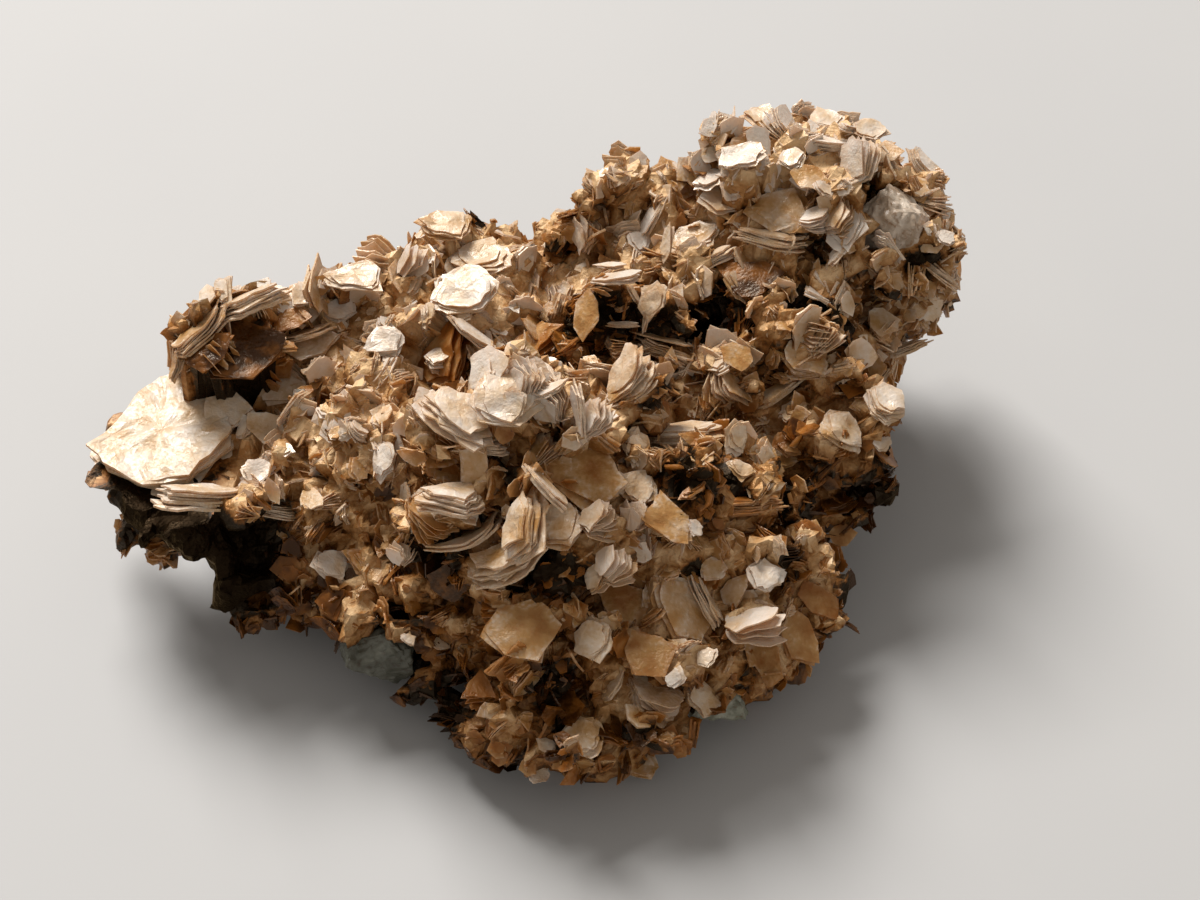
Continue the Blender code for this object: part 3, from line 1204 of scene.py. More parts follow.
# -------------------------------------------------------------------------------------------------- growth


class Crop(Enum):
    """The families of small books that can be sown."""

    UNDERGROWTH = "undergrowth"
    TIGHT = "tight_books"
    SPLAYED = "splayed_books"


@dataclass(frozen=True)
class Layer:
    """One sowing of books over a patch: how close they stand, how big they are and how they lean."""

    spacing: float
    smallest: float
    largest: float
    flat_least: float
    flat_most: float
    lift: float
    crop: Crop


@dataclass(frozen=True)
class Patch:
    """A named share of the mass's surface, the part nearest to its centre, with its own growth."""

    name: str
    centre: Triple
    layers: tuple[Layer, ...]
    tone: Range
    seed: int


class Draw(Enum):
    """The growth tree's random draws, each with what it adds to the seed."""

    STRAY = 3
    FLATNESS = 5
    SPIN = 11
    SIZE = 17
    LIFT = 23
    BOOK = 29
    TONE = 31


class GrowthTree:
    """The Geometry Nodes tree that sows books of plates over a surface."""

    # The most points for each square metre, before those too near to another go.
    DENSITY = 6.0e6
    # How many radians the flow turns the books through, how far each strays from it, and what tells the flows apart.
    TURNS = 7.0
    STRAY = 0.25
    FLOW_STEP = 7.31
    # Small books are commoner than large ones: the power that a size's draw is raised to.
    SIZE_POWER = 1.7
    # A book is lifted by its layer's lift times a number from this to 1.
    LEAST_LIFT = -0.7
    # A book on edge sinks by this share of its size, and one nearer to the floor than its reach is left out.
    SUNK = 0.75
    REACH = 1.7
    # A book is picked by a number up to this, which counts round and round its family.
    LAST_BOOK = 999
    # How much of a book's shade comes from how open its place is, which paints shade into the hollows and under the
    # mass; chance gives the rest, and a recess darkens it further as painted shade.
    OPENNESS_SHARE = 0.82
    OPENNESS_POWER = 1.35
    SHUT = 0.6

    INPUTS = (
        ("Spacing", "NodeSocketFloat"), ("Smallest", "NodeSocketFloat"), ("Largest", "NodeSocketFloat"),
        ("Flat Least", "NodeSocketFloat"), ("Flat Most", "NodeSocketFloat"), ("Lift", "NodeSocketFloat"),
        ("Tone Least", "NodeSocketFloat"), ("Tone Most", "NodeSocketFloat"), ("Flow Size", "NodeSocketFloat"),
        ("Clearing", "NodeSocketFloat"),
        ("Books", "NodeSocketCollection"), ("Finish", "NodeSocketMaterial"), ("Seed", "NodeSocketInt"),
    )

    def __init__(self) -> None:
        """Builds the tree."""
        self.tree = bpy.data.node_groups.new("plate_growth", "GeometryNodeTree")
        face = self.tree.interface
        face.new_socket("Geometry", in_out="OUTPUT", socket_type="NodeSocketGeometry")
        face.new_socket("Geometry", in_out="INPUT", socket_type="NodeSocketGeometry")
        self.ids = {name: face.new_socket(name, in_out="INPUT", socket_type=kind).identifier
                    for name, kind in self.INPUTS}
        self.graph = Graph(self.tree)
        self.source = self.tree.nodes.new("NodeGroupInput")
        self._build()

    def given(self, name: str) -> Socket:
        """Gives one of the tree's own inputs."""
        return Socket(self.graph, self.source.outputs[name])

    def stored(self, name: str) -> Socket:
        """Reads a number that is stored on the surface."""
        return self.graph.add("GeometryNodeInputNamedAttribute", {"data_type": "FLOAT"}, {"Name": name})

    def vector(self, operation: str, *values: Any, output: Any = 0) -> Socket:
        """Adds a Vector Math node.

        Args:
            operation: The node's operation.
            values: Its inputs in order.
            output: Which output is wanted.

        Returns:
            That output.
        """
        names = dict(enumerate(values))
        if operation == "SCALE":
            names = {0: values[0], "Scale": values[1]}
        return self.graph.add("ShaderNodeVectorMath", {"operation": operation}, names, output)

    def chance(self, draw: Draw, least: Any, most: Any, kind: str = "FLOAT") -> Socket:
        """Adds a random number for each point.

        Args:
            draw: Which draw it is.
            least: The least it can be.
            most: The most it can be.
            kind: The kind of number, FLOAT or INT.

        Returns:
            The number.
        """
        return self.graph.add("FunctionNodeRandomValue", {"data_type": kind},
                              {"Min": least, "Max": most, "Seed": self.given("Seed") + draw.value}, output="Value")

    def _face_way(self, normal: Socket) -> Socket:
        """Works out which way each book's face looks: round its rosette's middle, or out from it, as a slow
        noise says, so that neighbours look much the same way.

        Args:
            normal: The surface's own normal at each point.

        Returns:
            The direction.
        """
        g = self.graph
        radial = g.add("GeometryNodeInputNamedAttribute", {"data_type": "FLOAT_VECTOR"}, {"Name": "radial"})
        around = self.vector("NORMALIZE", self.vector("CROSS_PRODUCT", normal, radial))
        outward = self.vector("CROSS_PRODUCT", around, normal)
        flow = g.add("ShaderNodeTexNoise", {"noise_dimensions": "4D"}, {
            "Vector": g.add("GeometryNodeInputPosition"), "W": self.given("Seed") * self.FLOW_STEP,
            "Scale": 1.0 / (self.given("Flow Size") * MM), "Detail": 1.0})
        angle = (flow - 0.5) * self.TURNS + self.chance(Draw.STRAY, -self.STRAY, self.STRAY)
        level = self.vector("ADD", self.vector("SCALE", around, angle.cosine()),
                            self.vector("SCALE", outward, angle.sine()))
        flat = self._flatness()
        return self.vector("ADD", self.vector("SCALE", level, 1.0 - flat), self.vector("SCALE", normal, flat))

    def _flatness(self) -> Socket:
        """Says how flat each book lies: 0 on edge, 1 flat on the surface."""
        return self.chance(Draw.FLATNESS, self.given("Flat Least"), self.given("Flat Most"))

    def _turn(self, normal: Socket) -> Socket:
        """Works out how each book is turned: its face as the flow says, and spun about it by chance.

        Args:
            normal: The surface's own normal at each point.

        Returns:
            The rotation.
        """
        g = self.graph
        turn = g.add("FunctionNodeAlignRotationToVector", {"axis": "Z"}, {"Vector": self._face_way(normal)})
        spin = g.add("ShaderNodeCombineXYZ", inputs={"Z": self.chance(Draw.SPIN, 0.0, math.tau)})
        spin = g.add("FunctionNodeEulerToRotation", inputs={0: spin})
        return g.add("FunctionNodeRotateRotation", {"rotation_space": "LOCAL"}, {0: turn, 1: spin})

    def _risen(self, sown: Socket, normal: Socket, size: Socket) -> Socket:
        """Moves the points to the books' middles, and leaves out those too near to the floor.

        Args:
            sown: The points on the surface.
            normal: The surface's own normal at each point.
            size: Each book's size.

        Returns:
            The points that are left.
        """
        g = self.graph
        rise = (self.given("Lift") * self.chance(Draw.LIFT, self.LEAST_LIFT, 1.0)
                - size * (1.0 - self._flatness()) * self.SUNK)
        lift = self.vector("SCALE", normal, rise * MM)
        risen = g.add("GeometryNodeSetPosition", inputs={"Geometry": sown, "Offset": lift})
        height = g.add("ShaderNodeSeparateXYZ", inputs={0: g.add("GeometryNodeInputPosition")}, output="Z")
        return g.add("GeometryNodeDeleteGeometry", {"domain": "POINT"}, {
            "Geometry": risen, "Selection": height.below(size * self.REACH * MM)})

    def _tone(self) -> Socket:
        """Works out each book's shade, from how open its place is, chance and the recesses; openness and the recesses
        paint shade in.

        Returns:
            The shade.
        """
        share = (self.stored("openness") ** self.OPENNESS_POWER * self.OPENNESS_SHARE
                 + self.chance(Draw.TONE, 0.0, 1.0 - self.OPENNESS_SHARE))
        tone = self.given("Tone Least") + share * (self.given("Tone Most") - self.given("Tone Least"))
        return tone - self.stored("shut") * self.SHUT

    def _build(self) -> None:
        """Adds the tree's nodes, from the surface to the finished plates."""
        g = self.graph
        sown = g.add("GeometryNodeDistributePointsOnFaces", {"distribute_method": "POISSON"}, {
            "Mesh": self.given("Geometry"), "Distance Min": self.given("Spacing") * MM,
            "Density Max": self.DENSITY, "Seed": self.given("Seed"),
            "Density Factor": 1.0 - self.stored("bare") * self.given("Clearing")})
        normal = Socket(g, sown.output.node.outputs["Normal"])
        size_range = self.given("Largest") - self.given("Smallest")
        size = self.given("Smallest") + size_range * self.chance(Draw.SIZE, 0.0, 1.0) ** self.SIZE_POWER
        books = g.add("GeometryNodeCollectionInfo", inputs={
            "Collection": self.given("Books"), "Separate Children": True, "Reset Children": True})
        placed = g.add("GeometryNodeInstanceOnPoints", inputs={
            "Points": self._risen(sown, normal, size), "Instance": books, "Pick Instance": True,
            "Instance Index": self.chance(Draw.BOOK, 0, self.LAST_BOOK, "INT"),
            "Rotation": self._turn(normal), "Scale": size * MM})
        toned = g.add("GeometryNodeStoreNamedAttribute", {"data_type": "FLOAT", "domain": "INSTANCE"}, {
            "Geometry": placed, "Name": "tone", "Value": self._tone()})
        real = g.add("GeometryNodeRealizeInstances", inputs={"Geometry": toned})
        dressed = g.add("GeometryNodeSetMaterial", inputs={"Geometry": real, "Material": self.given("Finish")})
        out = self.tree.nodes.new("NodeGroupOutput")
        self.tree.links.new(dressed.output, out.inputs[0])

    def sow(self, surface: bpy.types.Mesh, values: Mapping[str, Any], name: str) -> bpy.types.Mesh:
        """Sows one layer over a surface.

        Args:
            surface: The surface's mesh.
            values: The tree's inputs by name.
            name: The name that the plates' mesh gets.

        Returns:
            The plates, as a plain mesh.
        """
        patch = link(surface, name + "_surface")
        growth = patch.modifiers.new("growth", "NODES")
        growth.node_group = self.tree
        for label, value in values.items():
            growth[self.ids[label]] = value
        mesh = plain_mesh(patch, name)
        patch.modifiers.clear()
        discard(patch)
        return mesh


# ------------------------------------------------------------------------------------------------- cluster


@dataclass(frozen=True)
class Family:
    """A hidden collection of small books that the growth tree picks from."""

    crop: Crop
    books: tuple[Book, ...]
    copies: int
    seed: int

    def build(self) -> bpy.types.Collection:
        """Makes the books.

        Returns:
            The collection that holds them.
        """
        rng = random.Random(self.seed)
        collection = bpy.data.collections.new(self.crop.value)
        for number, book in enumerate(self.books * self.copies):
            mesh = SheetMesh(f"{self.crop.value}_{number}", toned=False)
            book.add_to(mesh, Matrix(), rng)
            collection.objects.link(bpy.data.objects.new(mesh.name, mesh.finish()))
        return collection


class Kind(Enum):
    """The kinds of large book, each with the sheets that it has for a half length of 1."""

    PLATE = Book(sheets=4, stretch=1.15, thickness=0.05, gap=0.015, tears=2, roughness=0.14, step=0.2, wave=0.25,
                 rings=(0.84, 0.45))
    SHELF = Book(sheets=9, thickness=0.16, gap=0.03, tears=3, roughness=0.04, wave=0.18,
                 rings=(0.94, 0.8, 0.6, 0.4, 0.2))
    SMOOTH = Book(sheets=2, stretch=1.3, thickness=0.05, gap=0.02, tears=2, roughness=0.06, wave=0.12,
                  rings=(0.88, 0.62, 0.32))
    BLADE = Book(sheets=4, stretch=2.4, thickness=0.11, gap=0.02, tears=2, roughness=0.12, rings=(0.8,))
    STACK = Book(sheets=8, stretch=1.4, thickness=0.06, gap=0.02, tears=2, roughness=0.14, step=0.3, wave=0.2,
                 rings=(0.84, 0.45))
    LEDGE = Book(sheets=8, stretch=2.6, thickness=0.085, gap=0.02, tears=2, roughness=0.12, wave=0.2, step=0.2,
                 rings=(0.86, 0.5))
    FAN = Book(sheets=7, stretch=1.3, thickness=0.05, gap=0.015, habit=Habit.SPLAYED, spread=15.0, tears=2,
               roughness=0.12, wave=0.2, rings=(0.86, 0.5))
    ROSETTE = Book(sheets=9, stretch=1.2, thickness=0.05, gap=0.01, habit=Habit.ROSETTE, spread=34.0, tears=2,
                   roughness=0.14, rings=(0.86,))
    VEE = Book(sheets=4, stretch=1.6, thickness=0.05, gap=0.02, habit=Habit.SPLAYED, spread=13.0, tears=2,
               roughness=0.07, wave=0.2, rings=(0.86, 0.5))


@dataclass(frozen=True)
class LargeBook:
    """A large book placed one by one. Its column and row are where it is seen from the viewpoint, half is its half
    length, along is the angle of its long way in the view, and tip is how far its face turns to the viewpoint."""

    # What every large book's half length and shade are multiplied by, and what is added to its lift.
    GROWN = 1.12
    TONED = 0.86
    RAISED = -0.20

    kind: Kind
    column: float
    row: float
    half: float
    along: float
    tip: float
    # The book's shade, partly its own colour and partly painted light: the whitest books stand for plates that glint,
    # as painted highlight, and those below zero for painted shade.
    tone: float
    lift: float = 0.45
    bend: float = 0.0
    corners: tuple[tuple[float, float], ...] = ()
    cleared: float = 0.48

    def place(self, view: Viewpoint, ground: BVHTree) -> Matrix:
        """Works out where the book lies: on the ground mass, under its point of the view.

        Args:
            view: The viewpoint.
            ground: The ground mass.

        Returns:
            The place, in metres, of a book modelled in millimetres.
        """
        hit, normal = view.on_surface(ground, self.column, self.row)
        turn, tilt = math.radians(self.along), math.radians(self.tip)
        long_way = view.right * math.cos(turn) + view.up * math.sin(turn)
        across = view.up * math.cos(turn) - view.right * math.sin(turn)
        face = across * math.cos(tilt) + view.back * math.sin(tilt)
        axes = Matrix((long_way, face.cross(long_way), face)).transposed()
        centre = hit + (normal + view.back).normalized() * (self.lift + self.RAISED) * MM
        return Matrix.Translation(centre) @ axes.to_4x4() @ Matrix.Scale(MM, 4)

    def add_to(self, mesh: SheetMesh, place: Matrix, rng: random.Random) -> None:
        """Adds the book to a mesh.

        Args:
            mesh: The mesh.
            place: Where the book goes.
            rng: The source of its unevenness.
        """
        base = self.kind.value
        radius = 1.0 if self.corners else self.half * self.GROWN / base.stretch
        book = replace(base, radius=radius, bend=self.bend, corners=self.corners)
        book.add_to(mesh, place, rng, self.tone * self.TONED)


@dataclass
class MicaCluster:
    """The whole cluster: the ground mass, the plates that grow on it patch by patch, and the large books."""

    STONES = ("matrix_knob", "matrix_front", "matrix_left")
    # A book tipped by this many degrees or more is lying.
    LYING = 40.0
    # A lying book presses the ground that is within its half length down to PRESSED, if it stands higher, at least
    # where it is from UNDER to OVER above the book's middle, in millimetres. A share of the half length adds to OVER.
    UNDER, OVER, OVER_SHARE = -1.5, 1.6, 0.45
    PRESSED = -0.3
    # How far round a book's middle the ground is looked at, as a share of its half length.
    ROUND = 1.4
    SEEDS_PER_PATCH = 10

    ground: GroundMass
    view: Viewpoint
    patches: tuple[Patch, ...]
    books: tuple[LargeBook, ...]
    lowest: float = 1.0
    flow_size: float = 4.2
    undergrowth: float = 0.97
    books_seed: int = 5

    def patch_surface(self, ground: bpy.types.Mesh, patch: Patch) -> bpy.types.Mesh:
        """Cuts one patch out of the ground mass.

        Args:
            ground: The ground mass's mesh.
            patch: The patch that is wanted.

        Returns:
            The faces nearest to the patch's centre, without those lowest down.
        """
        centres = [(Vector(p.centre) * MM, p) for p in self.patches]
        bm = bmesh.new()
        bm.from_mesh(ground)
        strange = []
        for face in bm.faces:
            middle = face.calc_center_median()
            nearest = min(centres, key=lambda pair: (pair[0] - middle).length_squared)[1]
            if nearest is not patch or middle.z < self.lowest * MM:
                strange.append(face)
        bmesh.ops.delete(bm, geom=strange, context="FACES")
        surface = bpy.data.meshes.new(patch.name + "_surface")
        bm.to_mesh(surface)
        bm.free()
        return surface

    def clear_ground(self, ground: bpy.types.Mesh, places: Sequence[Matrix]) -> None:
        """Presses the ground mass down under the large books, and marks it as bare, so that little grows there.

        Args:
            ground: The ground mass's mesh.
            places: The large books' places.
        """
        spots = KDTree(len(ground.vertices))
        for vert in ground.vertices:
            spots.insert(vert.co, vert.index)
        spots.balance()
        for stone in self.STONES:
            corners = [vert.co for vert in frame["nodes"][stone].data.vertices]
            middle = sum(corners, Vector()) / len(corners)
            across = max((corner - middle).length for corner in corners)
            for _, index, _ in spots.find_range(middle, across):
                ground.attributes["bare"].data[index].value = 1.0
        for book, place in zip(self.books, places):
            self.press_under(book, place, ground, spots)
        ground.update()

    def press_under(self, book: LargeBook, place: Matrix, ground: bpy.types.Mesh, spots: KDTree) -> None:
        """Presses the ground mass down under one book, and marks it as bare.

        Args:
            book: The book.
            place: Its place.
            ground: The ground mass's mesh.
            spots: The ground mass's corners as they were before any pressing.
        """
        into_book, bare = place.inverted(), ground.attributes["bare"]
        over = self.OVER + self.OVER_SHARE * book.half
        for spot, index, _ in spots.find_range(place.translation, book.half * self.ROUND * MM):
            near = into_book @ spot
            lying = book.tip >= self.LYING and near.xy.length < book.half and self.UNDER < near.z < over
            if lying and near.z > self.PRESSED:
                ground.vertices[index].co = place @ Vector((near.x, near.y, self.PRESSED))
            if (near.xy if lying else near).length < book.half * book.cleared:
                bare.data[index].value = 1.0

    def grow(self, ground: bpy.types.Mesh, tree: GrowthTree, families: Mapping[Crop, bpy.types.Collection],
             finish: bpy.types.Material, surface: BVHTree) -> list[bpy.types.Object]:
        """Sows every patch.

        Args:
            ground: The ground mass's mesh.
            tree: The growth tree.
            families: The collections of books.
            finish: The plates' finish.
            surface: The ground mass's surface, for measuring how far a plate reaches out.

        Returns:
            The pieces, one a patch.
        """
        pieces = []
        for patch in self.patches:
            bed = self.patch_surface(ground, patch)
            bm = bmesh.new()
            for number, layer in enumerate(patch.layers):
                grown = tree.sow(bed, {
                    "Spacing": layer.spacing, "Smallest": layer.smallest, "Largest": layer.largest,
                    "Flat Least": layer.flat_least, "Flat Most": layer.flat_most, "Lift": layer.lift,
                    "Tone Least": patch.tone[0], "Tone Most": patch.tone[1], "Flow Size": self.flow_size,
                    "Clearing": 1.0 if number else self.undergrowth,
                    "Books": families[layer.crop], "Finish": finish,
                    "Seed": patch.seed * self.SEEDS_PER_PATCH + number,
                }, f"{patch.name}_{number}")
                bm.from_mesh(grown)
            mesh = bpy.data.meshes.new(patch.name)
            bm.to_mesh(mesh)
            bm.free()
            self.measure_reach(mesh, surface)
            pieces.append(self.dressed(mesh, patch.name, finish))
        return pieces

    @staticmethod
    def measure_reach(mesh: bpy.types.Mesh, surface: BVHTree) -> None:
        """Stores how far each corner stands from the ground mass, in millimetres.

        Args:
            mesh: The plates' mesh.
            surface: The ground mass's surface.
        """
        reach = mesh.attributes.new("reach", "FLOAT", "POINT")
        for vert, value in zip(mesh.vertices, reach.data):
            point, normal, _, distance = surface.find_nearest(vert.co)
            inside = (vert.co - point).dot(normal) < 0.0
            value.value = (-distance if inside else distance) / MM

    @staticmethod
    def dressed(mesh: bpy.types.Mesh, name: str, finish: bpy.types.Material) -> bpy.types.Object:
        """Makes a piece of a mesh and its finish.

        Args:
            mesh: The mesh.
            name: The piece's name.
            finish: Its material.

        Returns:
            The piece, riding on the cluster's only body.
        """
        mesh.materials.clear()
        mesh.materials.append(finish)
        piece = link(mesh, name)
        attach(piece, "root")
        LOG.info("%s: %d triangles", name, sum(len(face.vertices) - 2 for face in mesh.polygons))
        return piece

    def lay_books(self, places: Sequence[Matrix], finish: bpy.types.Material, surface: BVHTree) -> bpy.types.Object:
        """Makes the large books, as one piece.

        Args:
            places: Their places.
            finish: Their finish.
            surface: The ground mass's surface, for measuring how far a plate reaches out.

        Returns:
            The piece.
        """
        rng = random.Random(self.books_seed)
        large = SheetMesh("large_books")
        for book, place in zip(self.books, places):
            book.add_to(large, place, rng)
        mesh = large.finish()
        self.measure_reach(mesh, surface)
        return self.dressed(mesh, "large_books", finish)

    def build(self) -> list[bpy.types.Object]:
        """Makes every piece of the cluster's mica.

        Returns:
            The pieces.
        """
        mica, packed = MicaFinish().make(), GroundMassFinish().make()
        mesh = self.ground.build()
        surface = surface_of(mesh)
        places = [book.place(self.view, surface) for book in self.books]
        self.clear_ground(mesh, places)
        surface = surface_of(mesh)
        families = {family.crop: family.build() for family in FAMILIES}
        pieces = self.grow(mesh, GrowthTree(), families, mica, surface)
        for family in families.values():
            for member in list(family.objects):
                discard(member)
            bpy.data.collections.remove(family)
        pieces.append(self.lay_books(places, mica, surface))
        core = self.dressed(mesh, "mica_ground", packed)
        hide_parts(self.ground.node)
        return [*pieces, core]


FAMILIES = (
    Family(Crop.UNDERGROWTH, (
        Book(sheets=1, thickness=0.14, bend=0.15, roughness=0.30),
        Book(sheets=1, thickness=0.12, stretch=1.6, bend=-0.15, roughness=0.30),
        Book(sheets=2, thickness=0.12, gap=0.02, step=0.3, roughness=0.30),
    ), 8, 20),
    Family(Crop.TIGHT, (
        Book(sheets=4, thickness=0.09, gap=0.01, tears=2, step=0.4, bend=0.10, roughness=0.20),
        Book(sheets=5, thickness=0.09, gap=0.01, tears=1, stretch=1.6, step=0.3, roughness=0.20),
        Book(sheets=3, thickness=0.07, gap=0.02, tears=2, bend=-0.14, roughness=0.22),
        Book(sheets=4, thickness=0.07, gap=0.01, tears=1, stretch=1.1, step=-0.4, bend=0.12, roughness=0.20),
    ), 5, 21),
    Family(Crop.SPLAYED, (
        Book(sheets=6, thickness=0.06, gap=0.01, tears=1, step=0.35, bend=0.08, spread=9.0, habit=Habit.SPLAYED,
             roughness=0.20),
        Book(sheets=7, thickness=0.05, gap=0.01, tears=1, habit=Habit.SPLAYED, spread=18.0, bend=0.1, roughness=0.20),
        Book(sheets=5, thickness=0.05, gap=0.01, tears=1, habit=Habit.ROSETTE, spread=30.0, roughness=0.20),
        Book(sheets=6, thickness=0.08, gap=0.01, tears=1, stretch=1.7, step=0.4, roughness=0.20),
        Book(sheets=5, thickness=0.08, gap=0.01, tears=2, stretch=1.2, step=0.3, roughness=0.22, bend=-0.1),
    ), 4, 22),
)

# How plates grow: thickly where the cluster is roughest, then finer, sparser and flatter.
COARSE = (
    Layer(0.74, 0.30, 0.95, 0.00, 0.50, 0.05, Crop.UNDERGROWTH),
    Layer(1.55, 0.50, 1.20, 0.00, 0.50, 0.10, Crop.TIGHT),
    Layer(2.30, 0.65, 1.45, 0.00, 0.45, 0.15, Crop.SPLAYED),
)
FINE = (
    Layer(0.77, 0.32, 0.95, 0.10, 0.65, 0.05, Crop.UNDERGROWTH),
    Layer(1.75, 0.50, 1.20, 0.05, 0.60, 0.10, Crop.TIGHT),
    Layer(2.70, 0.60, 1.40, 0.05, 0.50, 0.15, Crop.SPLAYED),
)
SPARE = (
    Layer(1.00, 0.40, 1.15, 0.15, 0.75, 0.10, Crop.UNDERGROWTH),
    Layer(2.00, 0.50, 1.30, 0.10, 0.70, 0.20, Crop.TIGHT),
    Layer(3.00, 0.70, 1.50, 0.10, 0.65, 0.25, Crop.SPLAYED),
)
SMOOTH = (
    Layer(0.80, 0.38, 1.05, 0.35, 0.95, 0.05, Crop.UNDERGROWTH),
    Layer(1.80, 0.55, 1.30, 0.35, 0.95, 0.05, Crop.TIGHT),
    Layer(3.00, 0.60, 1.30, 0.10, 0.60, 0.10, Crop.SPLAYED),
)

# Each patch's tone range is partly painted light and shade: higher on the knob, lower on the foot, the base, the
# flank and the hollow.
CLUSTER_PATCHES = (
    Patch("plates_wing", (-19.0, -4.0, 13.0), COARSE, (0.10, 1.15), 1),
    Patch("plates_crown", (-1.0, -4.0, 20.0), COARSE, (0.08, 1.10), 2),
    Patch("plates_saddle", (9.0, 4.0, 15.0), COARSE, (0.08, 1.08), 3),
    Patch("plates_knob", (20.0, 11.0, 18.0), COARSE, (0.30, 1.30), 4),
    Patch("plates_foot", (7.0, -13.0, 10.0), FINE, (-0.15, 0.85), 5),
    Patch("plates_base", (4.0, -18.0, 2.0), SMOOTH, (-0.20, 0.80), 9),
    Patch("plates_flank", (20.0, -4.0, 7.0), FINE, (-0.15, 0.80), 6),
    Patch("plates_back", (2.0, 13.0, 9.0), SPARE, (0.10, 1.10), 7),
    Patch("plates_hollow", (-12.0, -8.0, 3.0), SMOOTH, (-0.30, 0.55), 8),
)

RECESSES = (
    # Every recess with a depth over zero also darkens the ground and the plates sown round it, as painted shade.
    # The cave and the gaps round it.
    Recess(712, 320, 5.6, 5.0),
    Recess(712, 312, 4.4, 0.9, bare=True),
    Recess(778, 325, 4.2, 3.4),
    Recess(690, 285, 2.0, 1.0),
    Recess(600, 305, 3.0, 1.2),
    Recess(655, 325, 3.0, 1.3),
    Recess(755, 290, 3.0, 1.8),
    Recess(560, 315, 2.8, 0.8),
    Recess(845, 320, 3.0, 0.8),
    # The slot under the cave.
    Recess(692, 478, 3.6, 3.2),
    Recess(758, 478, 3.6, 3.0),
    Recess(720, 430, 2.4, 0.8),
    Recess(722, 480, 2.6, 0.6, bare=True),
    Recess(645, 392, 2.4, 1.4),
    # The hollow behind the shelf, and the gaps between the wing and the crown.
    Recess(235, 335, 4.0, 2.8),
    Recess(190, 352, 2.5, 1.7),
    Recess(425, 560, 3.4, 2.2),
    Recess(555, 570, 3.0, 2.2),
    Recess(510, 462, 2.0, 1.2),
    Recess(425, 480, 1.6, 1.0),
    Recess(545, 345, 2.2, 1.0),
    Recess(450, 375, 1.8, 0.9),
    Recess(560, 240, 2.4, 1.2),
    Recess(640, 205, 1.6, 0.8),
    Recess(470, 215, 1.6, 0.6),
    # Painted shade on the underside of the front and of the right flank: these dig in little and mostly darken.
    Recess(395, 645, 3.6, 0.2),
    Recess(440, 710, 3.6, 0.2),
    Recess(500, 775, 3.2, 0.2),
    Recess(905, 520, 4.2, 0.2),
    Recess(880, 600, 3.6, 0.2),
    # Gaps in the foot, beside the slot and under the knob.
    Recess(560, 705, 3.4, 1.0),
    Recess(640, 740, 2.2, 0.9),
    Recess(700, 575, 1.6, 0.9),
    Recess(830, 500, 3.0, 1.2),
    Recess(790, 560, 2.4, 1.0),
    Recess(920, 262, 2.0, 1.2),
    Recess(885, 310, 2.0, 0.9),
    # The wall under the shelf, mostly kept bare and darkened by painted shade.
    Recess(230, 555, 5.0, 0.8),
    Recess(112, 520, 4.0, 0.3, bare=True),
    Recess(160, 530, 5.0, 0.3, bare=True),
    Recess(215, 550, 5.0, 0.4, bare=True),
    Recess(225, 600, 4.5, 0.4, bare=True),
    # The bed that the shelf lies in, and three swellings.
    Recess(155, 445, 6.5, 1.0),
    Recess(525, 400, 3.6, -0.9),
    Recess(880, 410, 2.4, -0.6),
    Recess(620, 250, 2.0, -0.6),
)

WING_CORNERS = (
    (-4.4, -1.2), (-1.9, 2.9), (-0.6, 4.3), (0.2, 4.5), (3.4, 2.9), (4.0, 1.4), (4.2, -0.8), (1.9, -3.7),
    (-0.6, -4.1), (-3.4, -2.7),
)

